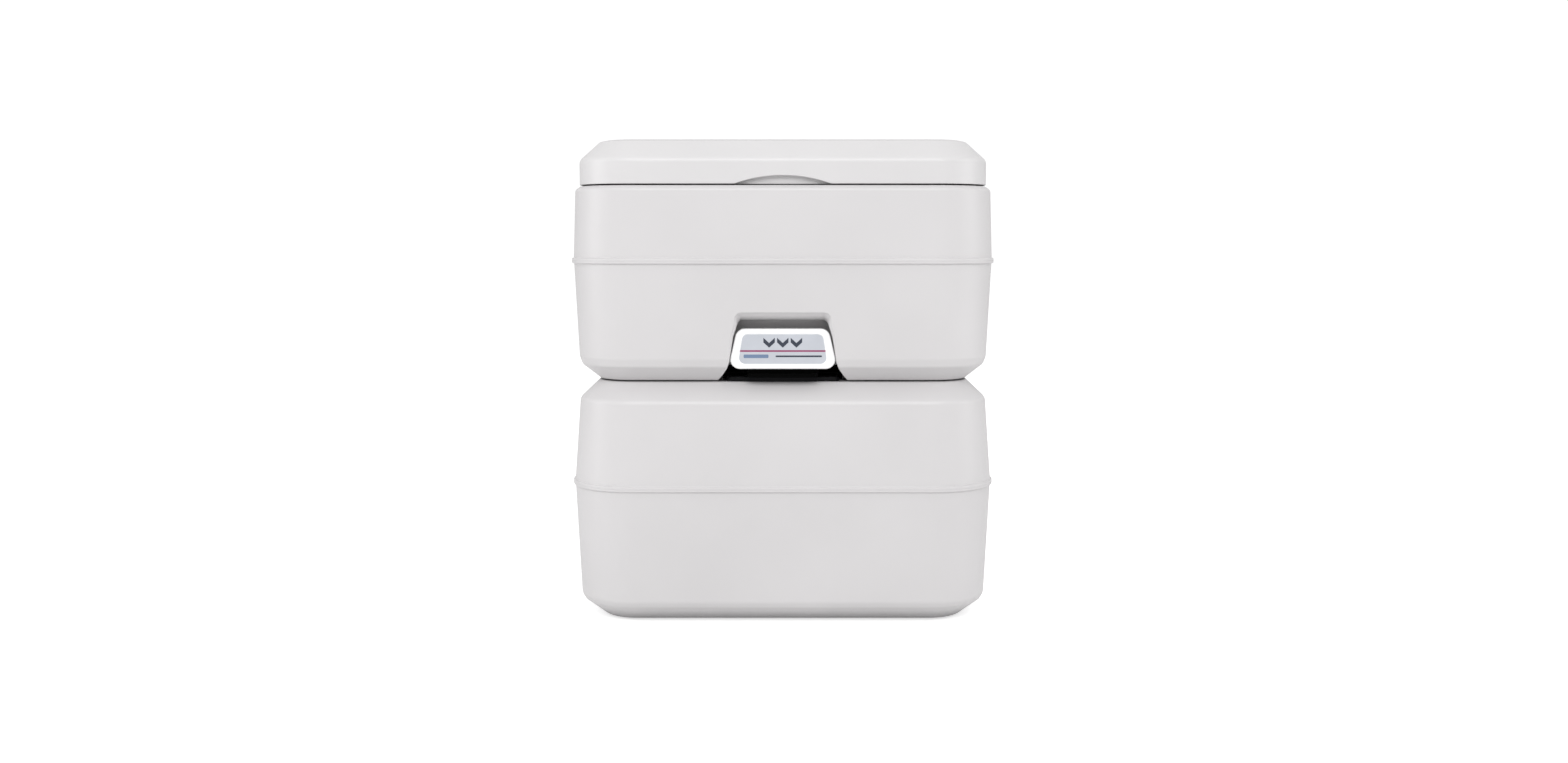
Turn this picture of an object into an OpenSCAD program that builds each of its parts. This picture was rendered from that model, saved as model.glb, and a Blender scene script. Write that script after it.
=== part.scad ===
// Portable camp toilet: a flush water tank with bowl, seat and lid, standing on a waste tank.
// X runs to the right, Y to the rear, Z up. The origin is the centre of the base, on the floor.

/* [Tanks] */
// Overall width across the weld flanges
width = 368; // [364:1:376]
// Overall depth across the weld flanges
depth = 416; // [412:1:424]
// Height of the waste tank
waste_h = 209; // [206:1:211]
// Height of the flush tank's top deck
deck_z = 375; // [373:1:377]
// Plan corner radius of the tank walls
corner_r = 52; // [48:1:54]
// Wall thickness of both tanks
wall = 4; // [3:0.5:4.5]
// Thickness of each weld flange
flange_t = 5; // [4:0.5:6]
// How far the waste tank's weld flange stands out
flange_out = 4; // [3.5:0.5:4.5]

/* [Lid and seat] */
// Height of the lid
lid_h = 38; // [37:1:41]
// Gap between the deck and the closed lid
lid_gap = 1.2; // [1:0.1:1.5]
// Radius of the seat opening
seat_hole_r = 112; // [104:1:116]
// Thickness of the seat
seat_t = 14; // [12:1:14]
// Radius of the hinge pin
pin_r = 3; // [2.5:0.5:3.5]

/* [Bowl and valve] */
// Distance of the bowl centre in front of the tank centre
bowl_front = 50; // [48:1:52]
// Radius of the bowl at its rim
bowl_r = 124; // [118:1:124]
// Radius of the valve opening
valve_r = 44; // [40:1:44]
// Thickness of the valve blade
blade_t = 3; // [2.5:0.5:3]
// Width of the pull handle at its foot
pull_w = 89; // [84:1:89]
// Height of the pull handle
pull_h = 34; // [32:1:35]

/* [Pump and caps] */
// Radius of the pump knob
knob_r = 29; // [26:1:30]
// Outer radius of the water filler cap
fill_cap_r = 37; // [36:1:38]
// Inner radius of the pour spout
spout_r = 23; // [20:1:23]

/* [Hidden] */
$fn = 64;

plastic = [0.86, 0.87, 0.88];
pale = [0.95, 0.95, 0.95];
dark = [0.25, 0.26, 0.28];
rubber = [0.12, 0.12, 0.12];
steel = [0.7, 0.7, 0.72];
label_grey = [0.8, 0.81, 0.84];

eps = 0.5;
run_gap = 0.05;

half_x = width / 2 - flange_out;
half_y = depth / 2 - flange_out;
corner_x = half_x - corner_r;
corner_y = half_y - corner_r;

// Weld planes of the two tanks
waste_weld_z = waste_h - 89.8;
flush_weld_z = deck_z - 63.2;
half_flange = flange_t / 2;
flush_flange_out = flange_out - 1.2;

// Side profiles: [distance outside the wall line, height], from the bottom up
waste_lower_side = [
  [-34, 0], [-23, 1.5], [-9.5, 12], [-4.8, 15.5], [-2.2, 20],
  [2.3, waste_weld_z - half_flange], [flange_out, waste_weld_z - half_flange + 0.4],
  [flange_out, waste_weld_z]
];
waste_upper_side = [
  [flange_out, waste_weld_z], [flange_out, waste_weld_z + half_flange - 0.4],
  [2.4, waste_weld_z + half_flange], [-3, waste_h - 16], [-20, waste_h]
];
waste_inner_side = [
  [-32, wall], [-10, 18], [2 - wall, waste_weld_z], [-3 - wall, waste_h - 18],
  [-22, waste_h - wall]
];
flush_lower_side = [
  [-20, waste_h], [-5, waste_h + 13.5], [-2.7, waste_h + 20],
  [1, flush_weld_z - half_flange], [flush_flange_out, flush_weld_z - half_flange + 0.4],
  [flush_flange_out, flush_weld_z]
];
flush_upper_side = [
  [flush_flange_out, flush_weld_z], [flush_flange_out, flush_weld_z + half_flange - 0.4],
  [1.2, flush_weld_z + half_flange], [-0.8, deck_z - 3], [-5, deck_z]
];
flush_inner_side = [
  [-22, waste_h + wall], [-5 - wall, waste_h + 16], [1 - wall, flush_weld_z],
  [-1 - wall, deck_z - 4 - wall], [-5 - wall, deck_z - wall]
];

// Bowl, valve and pull handle
bowl_y = -bowl_front;
rim_t = 3;
rim_out = 14;
bowl_t = 3;
neck_z = waste_h + 15;
blade_z = waste_h + 5;
blade_gap = 0.1;
slot_z0 = blade_z - blade_gap;
slot_z1 = blade_z + blade_t + blade_gap;
blade_half = 49;
blade_back = bowl_y + valve_r + 20;
blade_front = bowl_y - valve_r - 14;
rail_half = 68;
apron_half = 48;
apron_front = -half_y + 21;
frame_front = bowl_y - valve_r - 54;
frame_back = blade_back + 12;
cover_t = 4;
stem_half = 30;
valve_seal_w = 3.5;
valve_seal_t = 1.9;
pull_y = -half_y + 4;
pull_t = 12;
pull_z = waste_h + 12;
pull_corner = 6.7;
pull_taper = 4.2;
label_t = 0.6;
recess_depth = 44;
recess_top_z = waste_h + 58;

// Cavity under the flush tank that clears the valve
cavity_half = rail_half + 3;
cavity_top = waste_h + 13;

// Hinge of the seat and the lid
hinge_y = half_y - 8;
hinge_z = deck_z + 8;
knuckle_r = 6.5;
deck_lug = [30, 44];
seat_lug = [45, 58];
lid_lug = [62, 78];
seat_z = deck_z + 5;
lid_z = deck_z + lid_gap;
lid_top = lid_z + lid_h;
lid_inset = 4.7;
lid_back = hinge_y - 10;
lid_tongue_half = 61;
lid_t = 4;

// Pump, on the right of the rear deck
pump_x = 115;
service_y = 136;
well_r = 40;
well_floor = deck_z - 36;
bellows_top = deck_z + 6;
knob_top = deck_z + 20;
block_r = 20;
block_z = well_floor - 12;
hose_r = 5;
hose_z = well_floor - 6;
tube_r = 6;
tube_bore_r = tube_r - 2;
floor_gap = 6;
pump_dist = norm([pump_x, service_y - bowl_y]);
pump_turn = atan2(service_y - bowl_y, pump_x);

// Filler cap, on the left of the rear deck
fill_neck_r = 34;
fill_hole_r = 31;
fill_neck_z = deck_z + 10;
gasket_t = 1.5;
fill_cap_top = deck_z + 18;

// Pour spout in the rear notch of the waste tank
spout_x = -132;
spout_y = 162;
notch_x0 = -165;
notch_x1 = -22;
notch_y = 127;
notch_z = waste_h - 78;
spout_t = 3;
spout_reach = 94;
arm_z = notch_z + 42;
collar_h = 12;
spout_cap_r = spout_r + 8;
spout_cap_len = 18;

// Vent on top of the waste tank
vent_x = 110;
vent_y = 60;
vent_pocket_r = 22;
vent_pocket_z = waste_h - 12;
vent_bore_r = 8;
vent_top = waste_h - 2;

// Carry handle in the rear of the waste tank
grip_x0 = 38;
grip_x1 = 146;
grip_y = half_y - 17;
grip_z = waste_h - 22;
grip_drop = 36;
grip_r = 7;
grip_pin_r = 4;
grip_recess_y = half_y - 32;
grip_recess_z = grip_z - grip_drop - 12;

// Latch between the tanks, at the rear
latch_y = half_y - 4;
latch_z = waste_h + 40;
latch_half = 15;
latch_r = 6;
latch_pin_r = 2.5;
latch_open = 8;
strap_y = half_y - 0.1;
strap_t = 2.4;
catch_z0 = waste_h - 22;
catch_z1 = waste_h - 8;

// Points of a closed outline mirrored about the vertical axis, from one side profile
function outline(side, centre) = concat(
  [for (p = side) [centre + p[0], p[1]]],
  [for (i = [len(side) - 1:-1:0]) [-centre - side[i][0], side[i][1]]]
);
function last(list) = list[len(list) - 1];

// A box of rounded plan whose walls follow a side profile
module form(side, r = corner_r, cx = corner_x, cy = corner_y) {
  rotate([90, 0, 90]) linear_extrude(height = 2 * cx, center = true) polygon(outline(side, cy + r));
  rotate([90, 0, 0]) linear_extrude(height = 2 * cy, center = true) polygon(outline(side, cx + r));
  for (sx = [-1, 1], sy = [-1, 1])
    translate([sx * cx, sy * cy, 0])
      rotate_extrude() polygon(concat(
        [[0, side[0][1]]], [for (p = side) [r + p[0], p[1]]], [[0, last(side)[1]]]
      ));
}

// A block between two corners
module block(low, high) {
  translate(low) cube(high - low);
}

// A block centred on X
module centred(half, y0, y1, z0, z1) {
  block([-half, y0, z0], [half, y1, z1]);
}

// An upright cylinder between two heights
module post(r, z0, z1) {
  translate([0, 0, z0]) cylinder(r = r, h = z1 - z0);
}

// An upright ring between two heights
module ring(r_out, r_in, z0, z1) {
  difference() {
    post(r_out, z0, z1);
    post(r_in, z0 - eps, z1 + eps);
  }
}

// A cylinder lying along X
module rod_x(r, x0, x1) {
  translate([x0, 0, 0]) rotate([0, 90, 0]) cylinder(r = r, h = x1 - x0);
}

// The same shape on the left and on the right
module both_sides() {
  children();
  mirror([1, 0, 0]) children();
}

module at_bowl() {
  translate([0, bowl_y, 0]) children();
}

module at_pump() {
  translate([pump_x, service_y, 0]) children();
}

module at_filler() {
  translate([-pump_x, service_y, 0]) children();
}

module at_spout() {
  translate([spout_x, spout_y, 0]) children();
}

module at_vent() {
  translate([vent_x, vent_y, 0]) children();
}

module at_hinge() {
  translate([0, hinge_y, hinge_z]) children();
}

module at_latch() {
  translate([0, latch_y, latch_z]) children();
}

// A cylinder from the bowl's axis towards the pump, between two distances
module towards_pump(r, d0, d1, z) {
  at_bowl() translate([0, 0, z]) rotate([0, 0, pump_turn]) rod_x(r, d0, d1);
}

// ---- Waste tank ----

module notch(grow) {
  block([notch_x0 - grow, notch_y - grow, notch_z - grow], [notch_x1 + grow, half_y + 10, waste_h + eps]);
}

module vent_pocket(grow) {
  at_vent() post(vent_pocket_r + grow, vent_pocket_z - grow, waste_h + eps);
}

module grip_recess(grow) {
  block(
    [grip_x0 - grow, grip_recess_y - grow, grip_recess_z - grow],
    [grip_x1 + grow, half_y + 10, grip_z + 12 + grow]
  );
}

module catch_pocket(grow) {
  centred(latch_half + 1 + grow, latch_y - 12 - grow, half_y + 10, catch_z0 - 16 - grow, catch_z1 + grow);
}

module waste_hollow() {
  difference() {
    form(waste_inner_side);
    notch(wall);
    vent_pocket(wall);
    grip_recess(wall);
    catch_pocket(wall);
  }
}

module waste_tank_lower() {
  color(plastic) difference() {
    form(waste_lower_side);
    form(waste_inner_side);
  }
}

module waste_tank_upper() {
  color(plastic) difference() {
    form(waste_upper_side);
    waste_hollow();
    notch(0);
    vent_pocket(0);
    grip_recess(0);
    catch_pocket(0);
    at_bowl() post(valve_r, waste_h - wall - eps, waste_h + eps);
    at_vent() post(vent_bore_r + 4, vent_pocket_z - wall - eps, vent_pocket_z + eps);
    at_spout() post(spout_r + 2 * spout_t, notch_z - wall - eps, notch_z + eps);
    translate([0, grip_y, grip_z]) rod_x(grip_pin_r, grip_x0 - 4, grip_x1 + 4);
  }
}

// ---- Slide valve ----

screw_inset = 7;
screw_rows = [frame_front + 10, bowl_y - 11, frame_back - 10];
screw_places = [for (side = [-1, 1], y = screw_rows) [side * (rail_half - screw_inset), y]];
screw_r = 1.5;
head_r = 3.5;
head_t = 2;
screw_z = waste_h + 2;

module valve_base() {
  color(dark) difference() {
    union() {
      centred(rail_half, frame_front, frame_back, waste_h, slot_z1);
      centred(apron_half, apron_front, frame_front + 1, waste_h, slot_z0 - 1);
    }
    centred(blade_half + 0.2, frame_front - eps, blade_back + 0.5, slot_z0, slot_z1 + eps);
    at_bowl() post(valve_r, waste_h - eps, slot_z1);
    at_bowl() post(valve_r + valve_seal_w, slot_z0 - valve_seal_t, slot_z1);
    for (p = screw_places) translate(p) post(screw_r + run_gap, screw_z, slot_z1 + eps);
  }
}

module valve_seal() {
  color(rubber) at_bowl() ring(valve_r + valve_seal_w, valve_r, slot_z0 - valve_seal_t, slot_z0);
}

module valve_cover() {
  color(dark) difference() {
    centred(rail_half, frame_front, frame_back, slot_z1, slot_z1 + cover_t);
    at_bowl() post(valve_r, slot_z1 - eps, slot_z1 + cover_t + eps);
    for (p = screw_places) translate(p) {
      post(screw_r + run_gap, slot_z1 - eps, slot_z1 + cover_t);
      post(head_r + run_gap, slot_z1 + cover_t - head_t, slot_z1 + cover_t + eps);
    }
  }
}

module valve_screws() {
  color(steel) for (p = screw_places) translate(p) {
    post(screw_r, screw_z, slot_z1 + cover_t - head_t);
    post(head_r, slot_z1 + cover_t - head_t, slot_z1 + cover_t);
  }
}

// The blade covers the opening; its tongue reaches forward to a stem that carries the pull handle
module valve_blade() {
  color(dark) {
    centred(blade_half, blade_front, blade_back, blade_z, blade_z + blade_t);
    centred(stem_half, pull_y, blade_front + 1, blade_z, blade_z + blade_t);
    centred(stem_half, pull_y + 2, pull_y + pull_t, blade_z + blade_t - eps, pull_z);
  }
}

// Points on an arc, from one angle to another
arc_steps = 6;
function arc(x, z, r, from, to) = [
  for (i = [0:arc_steps]) let (a = from + (to - from) * i / arc_steps) [x + r * cos(a), z + r * sin(a)]
];

// Mirror the right half of an outline, given from the top down, to its left half
function mirrored(side) = concat(side, [for (i = [len(side) - 1:-1:0]) [-side[i][0], side[i][1]]]);

// A standing plate, wider at its foot, with rounded corners
module plate(low_half, taper, z0, z1, r, y0, y1) {
  low = low_half - r;
  lean = atan(taper / (z1 - z0 - 2 * r));
  translate([0, y1, 0]) rotate([90, 0, 0]) linear_extrude(height = y1 - y0) polygon(mirrored(concat(
    arc(low - taper, z1 - r, r, 90, lean), arc(low, z0 + r, r, lean, -90)
  )));
}

module label_shape(y0, y1) {
  inset = 4;
  plate(pull_w / 2 - 2 * inset, pull_taper / 2, pull_z + inset, pull_z + pull_h - inset, 3, y0, y1);
}

module pull_handle() {
  grip_wall = 5;
  color(pale) difference() {
    plate(pull_w / 2, pull_taper, pull_z, pull_z + pull_h, pull_corner, pull_y, pull_y + pull_t);
    label_shape(pull_y - eps, pull_y + label_t);
    plate(
      pull_w / 2 - grip_wall, pull_taper, pull_z + grip_wall, pull_z + pull_h - grip_wall, 3,
      pull_y + grip_wall, pull_y + pull_t + eps
    );
  }
}

module handle_label() {
  color(label_grey) label_shape(pull_y, pull_y + label_t);
}

// ---- Pour spout and its cap ----

neck_r = spout_r + spout_t;
shoulder_z = notch_z + collar_h + 2;
cap_grip_count = 24;

module spout_collar() {
  color(dark) at_spout() {
    ring(neck_r + spout_t, neck_r, notch_z - wall, notch_z + collar_h);
    ring(neck_r + 2 * spout_t, neck_r + spout_t - 0.1, notch_z, notch_z + 3);
  }
}

module spout_ring_seal() {
  color(rubber) at_spout() ring(neck_r + 2.5, neck_r, notch_z + collar_h, shoulder_z - 0.1);
}

module pour_spout() {
  color(dark) at_spout() difference() {
    union() {
      post(neck_r - run_gap, notch_z - wall, shoulder_z);
      post(neck_r + spout_t, shoulder_z, shoulder_z + 6);
      post(neck_r, shoulder_z, arm_z);
      translate([0, 0, arm_z]) sphere(neck_r);
      translate([0, 0, arm_z]) rod_x(neck_r, 0, spout_reach);
    }
    post(spout_r, notch_z - wall - eps, arm_z);
    translate([0, 0, arm_z]) sphere(spout_r);
    translate([0, 0, arm_z]) rod_x(spout_r, 0, spout_reach + eps);
  }
}

module spout_cap() {
  color(dark) at_spout() translate([0, 0, arm_z]) difference() {
    rod_x(spout_cap_r, spout_reach - spout_cap_len, spout_reach + gasket_t + 3);
    rod_x(neck_r + run_gap, spout_reach - spout_cap_len - eps, spout_reach + gasket_t);
    for (i = [0:cap_grip_count - 1]) rotate([i * 360 / cap_grip_count, 0, 0])
      translate([0, 0, spout_cap_r + 0.6])
        rod_x(1.6, spout_reach - spout_cap_len - eps, spout_reach);
  }
}

module spout_cap_gasket() {
  color(rubber) at_spout() translate([0, 0, arm_z]) difference() {
    rod_x(neck_r, spout_reach, spout_reach + gasket_t);
    rod_x(spout_r, spout_reach - eps, spout_reach + gasket_t + eps);
  }
}

// ---- Vent ----

vent_flange_z = vent_pocket_z + 2;
vent_head_z = vent_top - 4;
vent_bottom = vent_pocket_z - 14;

module vent_body() {
  color(dark) at_vent() {
    ring(vent_bore_r + 4, vent_bore_r, vent_bottom, vent_flange_z);
    ring(vent_bore_r + 9, vent_bore_r + 3.9, vent_pocket_z, vent_flange_z);
  }
}

module vent_button() {
  color(pale) at_vent() {
    post(vent_bore_r - run_gap, vent_bottom, vent_head_z);
    post(vent_bore_r + 5, vent_head_z, vent_top);
  }
}

module vent_seal() {
  color(rubber) at_vent() post(vent_bore_r + 3, vent_bottom - 3, vent_bottom);
}

// A coil of round wire, wound about Z
module coil(radius, wire, z0, z1, turns, steps = 20, sides = 8) {
  count = turns * steps;
  rise = z1 - z0 - 2 * wire;
  points = [
    for (i = [0:count], j = [0:sides - 1])
      let (a = 360 * i / steps, b = 360 * j / sides, r = radius + wire * cos(b))
      [r * cos(a), r * sin(a), z0 + wire + rise * i / count + wire * sin(b)]
  ];
  walls = [
    for (i = [0:count - 1], j = [0:sides - 1])
      let (k = (j + 1) % sides)
      [i * sides + j, i * sides + k, (i + 1) * sides + k, (i + 1) * sides + j]
  ];
  start_cap = [[for (j = [sides - 1:-1:0]) j]];
  end_cap = [[for (j = [0:sides - 1]) count * sides + j]];
  polyhedron(points, concat(walls, start_cap, end_cap));
}

module vent_spring() {
  color(steel) at_vent() coil(vent_bore_r + 1.6, 0.6, vent_flange_z, vent_head_z, 3);
}

// ---- Carry handle ----

grip_ear = 12;

module carry_handle() {
  color(dark) translate([0, grip_y, grip_z]) difference() {
    union() {
      for (x = [grip_x0 + 1, grip_x1 - 1 - grip_ear]) {
        rod_x(grip_r + 1, x, x + grip_ear);
        translate([x, -5, -grip_drop]) cube([grip_ear, 10, grip_drop]);
      }
      translate([0, 0, -grip_drop]) rod_x(grip_r, grip_x0 + 1, grip_x1 - 1);
    }
    rod_x(grip_pin_r + run_gap, grip_x0, grip_x1);
  }
}

module carry_handle_pins() {
  color(steel) translate([0, grip_y, grip_z]) {
    rod_x(grip_pin_r, grip_x0 - 4, grip_x0 + grip_ear);
    rod_x(grip_pin_r, grip_x1 - grip_ear, grip_x1 + 4);
  }
}

// ---- Latch ----

module latch_catch() {
  color(steel) centred(latch_half - 1, latch_y - 12, half_y - 0.3, catch_z0, catch_z1);
}

// At rest the latch stands released, swung clear of the catch
module released() {
  at_latch() rotate([latch_open, 0, 0]) children();
}

module latch_lever() {
  color(dark) released() difference() {
    union() {
      rod_x(latch_r, -latch_half, latch_half);
      centred(latch_half, strap_y - latch_y, strap_y - latch_y + strap_t, waste_h - 40 - latch_z, 0);
    }
    rod_x(latch_pin_r + run_gap, -latch_half - eps, latch_half + eps);
  }
}

module latch_hook() {
  color(steel) released() translate([0, -latch_y, -latch_z]) {
    centred(latch_half - 3, strap_y - 2, strap_y, catch_z0 - 14, catch_z0 - 0.5);
    centred(latch_half - 3, strap_y - 8, strap_y - 1.9, catch_z0 - 4, catch_z0 - 0.5);
  }
}

module latch_pin() {
  color(steel) at_latch() rod_x(latch_pin_r, -latch_half - 6, latch_half + 6);
}

// ---- Flush tank ----

module latch_pocket(grow) {
  at_latch() centred(latch_half + 3 + grow, -10 - grow, 20, -12 - grow, 12 + grow);
}

// Outline of the pull recess: narrow at the top, flared where it meets the seam
module recess_outline(grow) {
  corner = 4;
  half = pull_w / 2 + grow;
  polygon(mirrored(concat(
    arc(half - 14, recess_top_z + grow - corner, corner, 90, 20),
    [
      [half - 1.2, waste_h + 38.5], [half + 2, waste_h + 15.5], [half + 4.6, waste_h + 11.7],
      [half + 8.6, waste_h + 5.4], [half + 11.6, waste_h + 1.8], [half + 12.5, waste_h - eps]
    ]
  )));
}

// The recess is deepest at the seam; its ceiling slopes down to the back
module pull_recess(grow) {
  front = -half_y - 10;
  back = -half_y + recess_depth + grow;
  top = recess_top_z + grow;
  intersection() {
    translate([0, back, 0]) rotate([90, 0, 0])
      linear_extrude(height = back - front) recess_outline(grow);
    rotate([90, 0, 90]) linear_extrude(height = 2 * half_x, center = true) polygon([
      [front, waste_h - 1], [front, top + 1], [-half_y, top + 1], [-half_y + 5, top - 1],
      [-half_y + 20, top - 12], [back, top - 30], [back, waste_h - 1]
    ]);
  }
}

module valve_cavity(grow) {
  centred(
    cavity_half + grow, frame_front - 4 - grow, frame_back + 4 + grow, waste_h - eps,
    cavity_top + grow
  );
  centred(blade_half + 3, frame_front - 14, frame_front, waste_h - eps, cavity_top);
}

module flush_hollow() {
  difference() {
    form(flush_inner_side);
    pull_recess(wall);
    valve_cavity(wall);
    latch_pocket(wall);
  }
}

module flush_tank_lower() {
  color(plastic) difference() {
    form(flush_lower_side);
    flush_hollow();
    pull_recess(0);
    valve_cavity(0);
    latch_pocket(0);
    at_bowl() post(valve_r + 10, cavity_top - eps, cavity_top + wall + eps);
    at_latch() rod_x(latch_pin_r + run_gap, -latch_half - 6, latch_half + 6);
  }
}

module deck_knuckle() {
  translate([0, hinge_y, hinge_z]) rod_x(knuckle_r, deck_lug[0], deck_lug[1]);
  block(
    [deck_lug[0], hinge_y - knuckle_r, deck_z - 4],
    [deck_lug[1], hinge_y + knuckle_r, hinge_z]
  );
}

module flush_tank_upper() {
  color(plastic) difference() {
    union() {
      form(flush_upper_side);
      at_filler() post(fill_neck_r, deck_z - 1, fill_neck_z);
      both_sides() deck_knuckle();
    }
    form(flush_inner_side);
    at_bowl() post(bowl_r + 4, deck_z - wall - eps, deck_z + eps);
    at_pump() post(well_r + 0.2, deck_z - wall - eps, deck_z + eps);
    at_filler() post(fill_hole_r, deck_z - wall - eps, fill_neck_z + eps);
    at_hinge() rod_x(pin_r + run_gap, -deck_lug[1] - eps, deck_lug[1] + eps);
  }
}

// ---- Bowl ----

bowl_inner = [
  [bowl_r, deck_z + rim_t], [bowl_r - 6, deck_z - 21], [bowl_r - 24, deck_z - 76],
  [valve_r + 16, waste_h + 40], [valve_r, waste_h + 24], [valve_r, neck_z - 1]
];
bowl_outer = [
  [valve_r + bowl_t, neck_z - 1], [valve_r + bowl_t, waste_h + 23],
  [valve_r + 20, waste_h + 38], [bowl_r - 21, deck_z - 77], [bowl_r - 3, deck_z - 21],
  [bowl_r + 3.5, deck_z], [bowl_r + rim_out, deck_z], [bowl_r + rim_out, deck_z + rim_t]
];

module bowl() {
  color(pale) difference() {
    at_bowl() rotate_extrude($fn = 96) polygon(concat(bowl_inner, bowl_outer));
    towards_pump(hose_r + run_gap, bowl_r - 24, bowl_r, hose_z);
  }
}

module bowl_seal() {
  color(rubber) at_bowl()
    ring(valve_r + 10, valve_r + bowl_t, slot_z1 + cover_t + blade_gap, cavity_top + wall);
}

// ---- Flush pump ----

hose_wall = 1.5;
nozzle_end = bowl_r - 6;

module rim_nozzle() {
  color(dark) difference() {
    towards_pump(hose_r, bowl_r - 18, nozzle_end, hose_z);
    towards_pump(hose_r - hose_wall, bowl_r - 16, nozzle_end + eps, hose_z);
    nozzle_slot();
  }
}

// The mouth of the nozzle sprays sideways round the bowl
module nozzle_slot() {
  at_bowl() translate([0, 0, hose_z]) rotate([0, 0, pump_turn])
    translate([bowl_r - 16.5, -2 * hose_r, -1]) cube([2.5, 4 * hose_r, 2]);
}

module flush_hose() {
  color(rubber) difference() {
    towards_pump(hose_r, nozzle_end, pump_dist - block_r, hose_z);
    towards_pump(hose_r - hose_wall, nozzle_end - eps, pump_dist - block_r + eps, hose_z);
  }
}

module pump_well() {
  color(dark) at_pump() difference() {
    union() {
      post(well_r, well_floor, deck_z);
      post(well_r + 4, deck_z, deck_z + 2);
    }
    post(well_r - 3, well_floor + 3, deck_z + 2 + eps);
    post(tube_bore_r, well_floor - eps, well_floor + 3 + eps);
  }
}

module pump_valve_block() {
  color(dark) difference() {
    at_pump() post(block_r, block_z, well_floor);
    at_pump() post(tube_bore_r, block_z - eps, well_floor + eps);
    towards_pump(hose_r - hose_wall, pump_dist - block_r - eps, pump_dist, hose_z);
  }
}

slot_count = 6;
strainer_z = waste_h + wall + floor_gap;
strainer_h = 12;

module pickup_tube() {
  color(pale) at_pump() ring(tube_r, tube_bore_r, strainer_z + strainer_h, block_z);
}

module water_strainer() {
  color(dark) at_pump() difference() {
    post(tube_r + 6, strainer_z, strainer_z + strainer_h);
    post(tube_r + 4, strainer_z - eps, strainer_z + strainer_h - 2);
    post(tube_bore_r, strainer_z, strainer_z + strainer_h + eps);
    for (i = [0:slot_count - 1]) rotate([0, 0, i * 360 / slot_count])
      translate([tube_r + 2, -1, strainer_z - eps]) cube([8, 2, 8]);
  }
}

bellows_z0 = well_floor + 3;
fold_count = 5;
bellows_out = 30;
bellows_in = 23;

// A closed bellows: the folds are one zigzag outline turned about Z, with a hollow inside
module bellows_outline(inset) {
  pitch = (bellows_top - bellows_z0) / fold_count;
  folds = [for (i = [0:2 * fold_count])
    [(i % 2 == 0 ? bellows_in : bellows_out) - inset, bellows_z0 + i * pitch / 2]];
  polygon(concat([[0, bellows_z0]], folds, [[0, bellows_top]]));
}

module pump_bellows() {
  color(rubber) at_pump() difference() {
    rotate_extrude() bellows_outline(0);
    rotate_extrude() intersection() {
      bellows_outline(2);
      translate([0, bellows_z0 + 2]) square([bellows_out, bellows_top - bellows_z0 - 4]);
    }
    post(tube_bore_r, bellows_z0 - eps, bellows_z0 + 3);
  }
}

module pump_knob() {
  color(dark) at_pump() rotate_extrude() polygon(concat(
    [[0, bellows_top], [knob_r - 1, bellows_top], [knob_r, bellows_top + 1]],
    [for (a = [0:15:90]) [knob_r - 6 + 6 * cos(a), knob_top - 6 + 6 * sin(a)]],
    [[knob_r - 10, knob_top - 0.3], [knob_r - 18, knob_top - 2], [0, knob_top - 2.5]]
  ));
}

// ---- Water filler cap ----

module fill_cap() {
  color(dark) at_filler() difference() {
    union() {
      post(fill_cap_r, deck_z + 1, fill_cap_top - 3);
      translate([0, 0, fill_cap_top - 3])
        cylinder(r1 = fill_cap_r, r2 = fill_cap_r - 3, h = 3, $fn = 64);
    }
    post(fill_neck_r + 0.3, deck_z + 1 - eps, fill_neck_z + gasket_t);
    for (i = [0:cap_grip_count - 1]) rotate([0, 0, i * 360 / cap_grip_count])
      translate([fill_cap_r + 0.6, 0, 0]) post(1.6, deck_z, fill_cap_top - 4);
  }
}

module fill_cap_gasket() {
  color(rubber) at_filler() ring(fill_neck_r, fill_hole_r, fill_neck_z, fill_neck_z + gasket_t);
}

// ---- Seat and lid ----

module hinge_pin() {
  color(steel) at_hinge() rod_x(pin_r, -lid_lug[1] - 2, lid_lug[1] + 2);
}

seat_half = 150;
seat_front = -half_y + 16;
seat_rear = 96;
seat_corner = 60;
seat_top = seat_z + seat_t;
seat_side = [[-4, seat_z], [0, seat_z + 3], [0, seat_top - 5], [-5, seat_top]];

module seat() {
  mid_y = (seat_front + seat_rear) / 2;
  color(plastic) difference() {
    union() {
      translate([0, mid_y, 0]) form(
        seat_side, seat_corner, seat_half - seat_corner,
        (seat_rear - seat_front) / 2 - seat_corner
      );
      centred(seat_lug[1], seat_rear - 10, hinge_y - 8, seat_z, seat_z + 10);
      both_sides() {
        at_hinge() rod_x(knuckle_r, seat_lug[0], seat_lug[1]);
        block([seat_lug[0], hinge_y - 9, seat_z], [seat_lug[1], hinge_y, seat_z + 9.5]);
      }
    }
    at_bowl() post(seat_hole_r, seat_z - eps, seat_top + eps);
    at_bowl() translate([0, 0, seat_top - 4])
      cylinder(r1 = seat_hole_r, r2 = seat_hole_r + 5, h = 5, $fn = 64);
    at_hinge() rod_x(pin_r + run_gap, -seat_lug[1] - eps, seat_lug[1] + eps);
  }
}

seat_bumper_r = 4;
lid_bumper_r = 5;

module seat_bumpers() {
  color(rubber) for (a = [45:90:315]) at_bowl() rotate([0, 0, a])
    translate([bowl_r + 7, 0, 0]) post(seat_bumper_r, deck_z + rim_t, seat_z);
}

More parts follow.
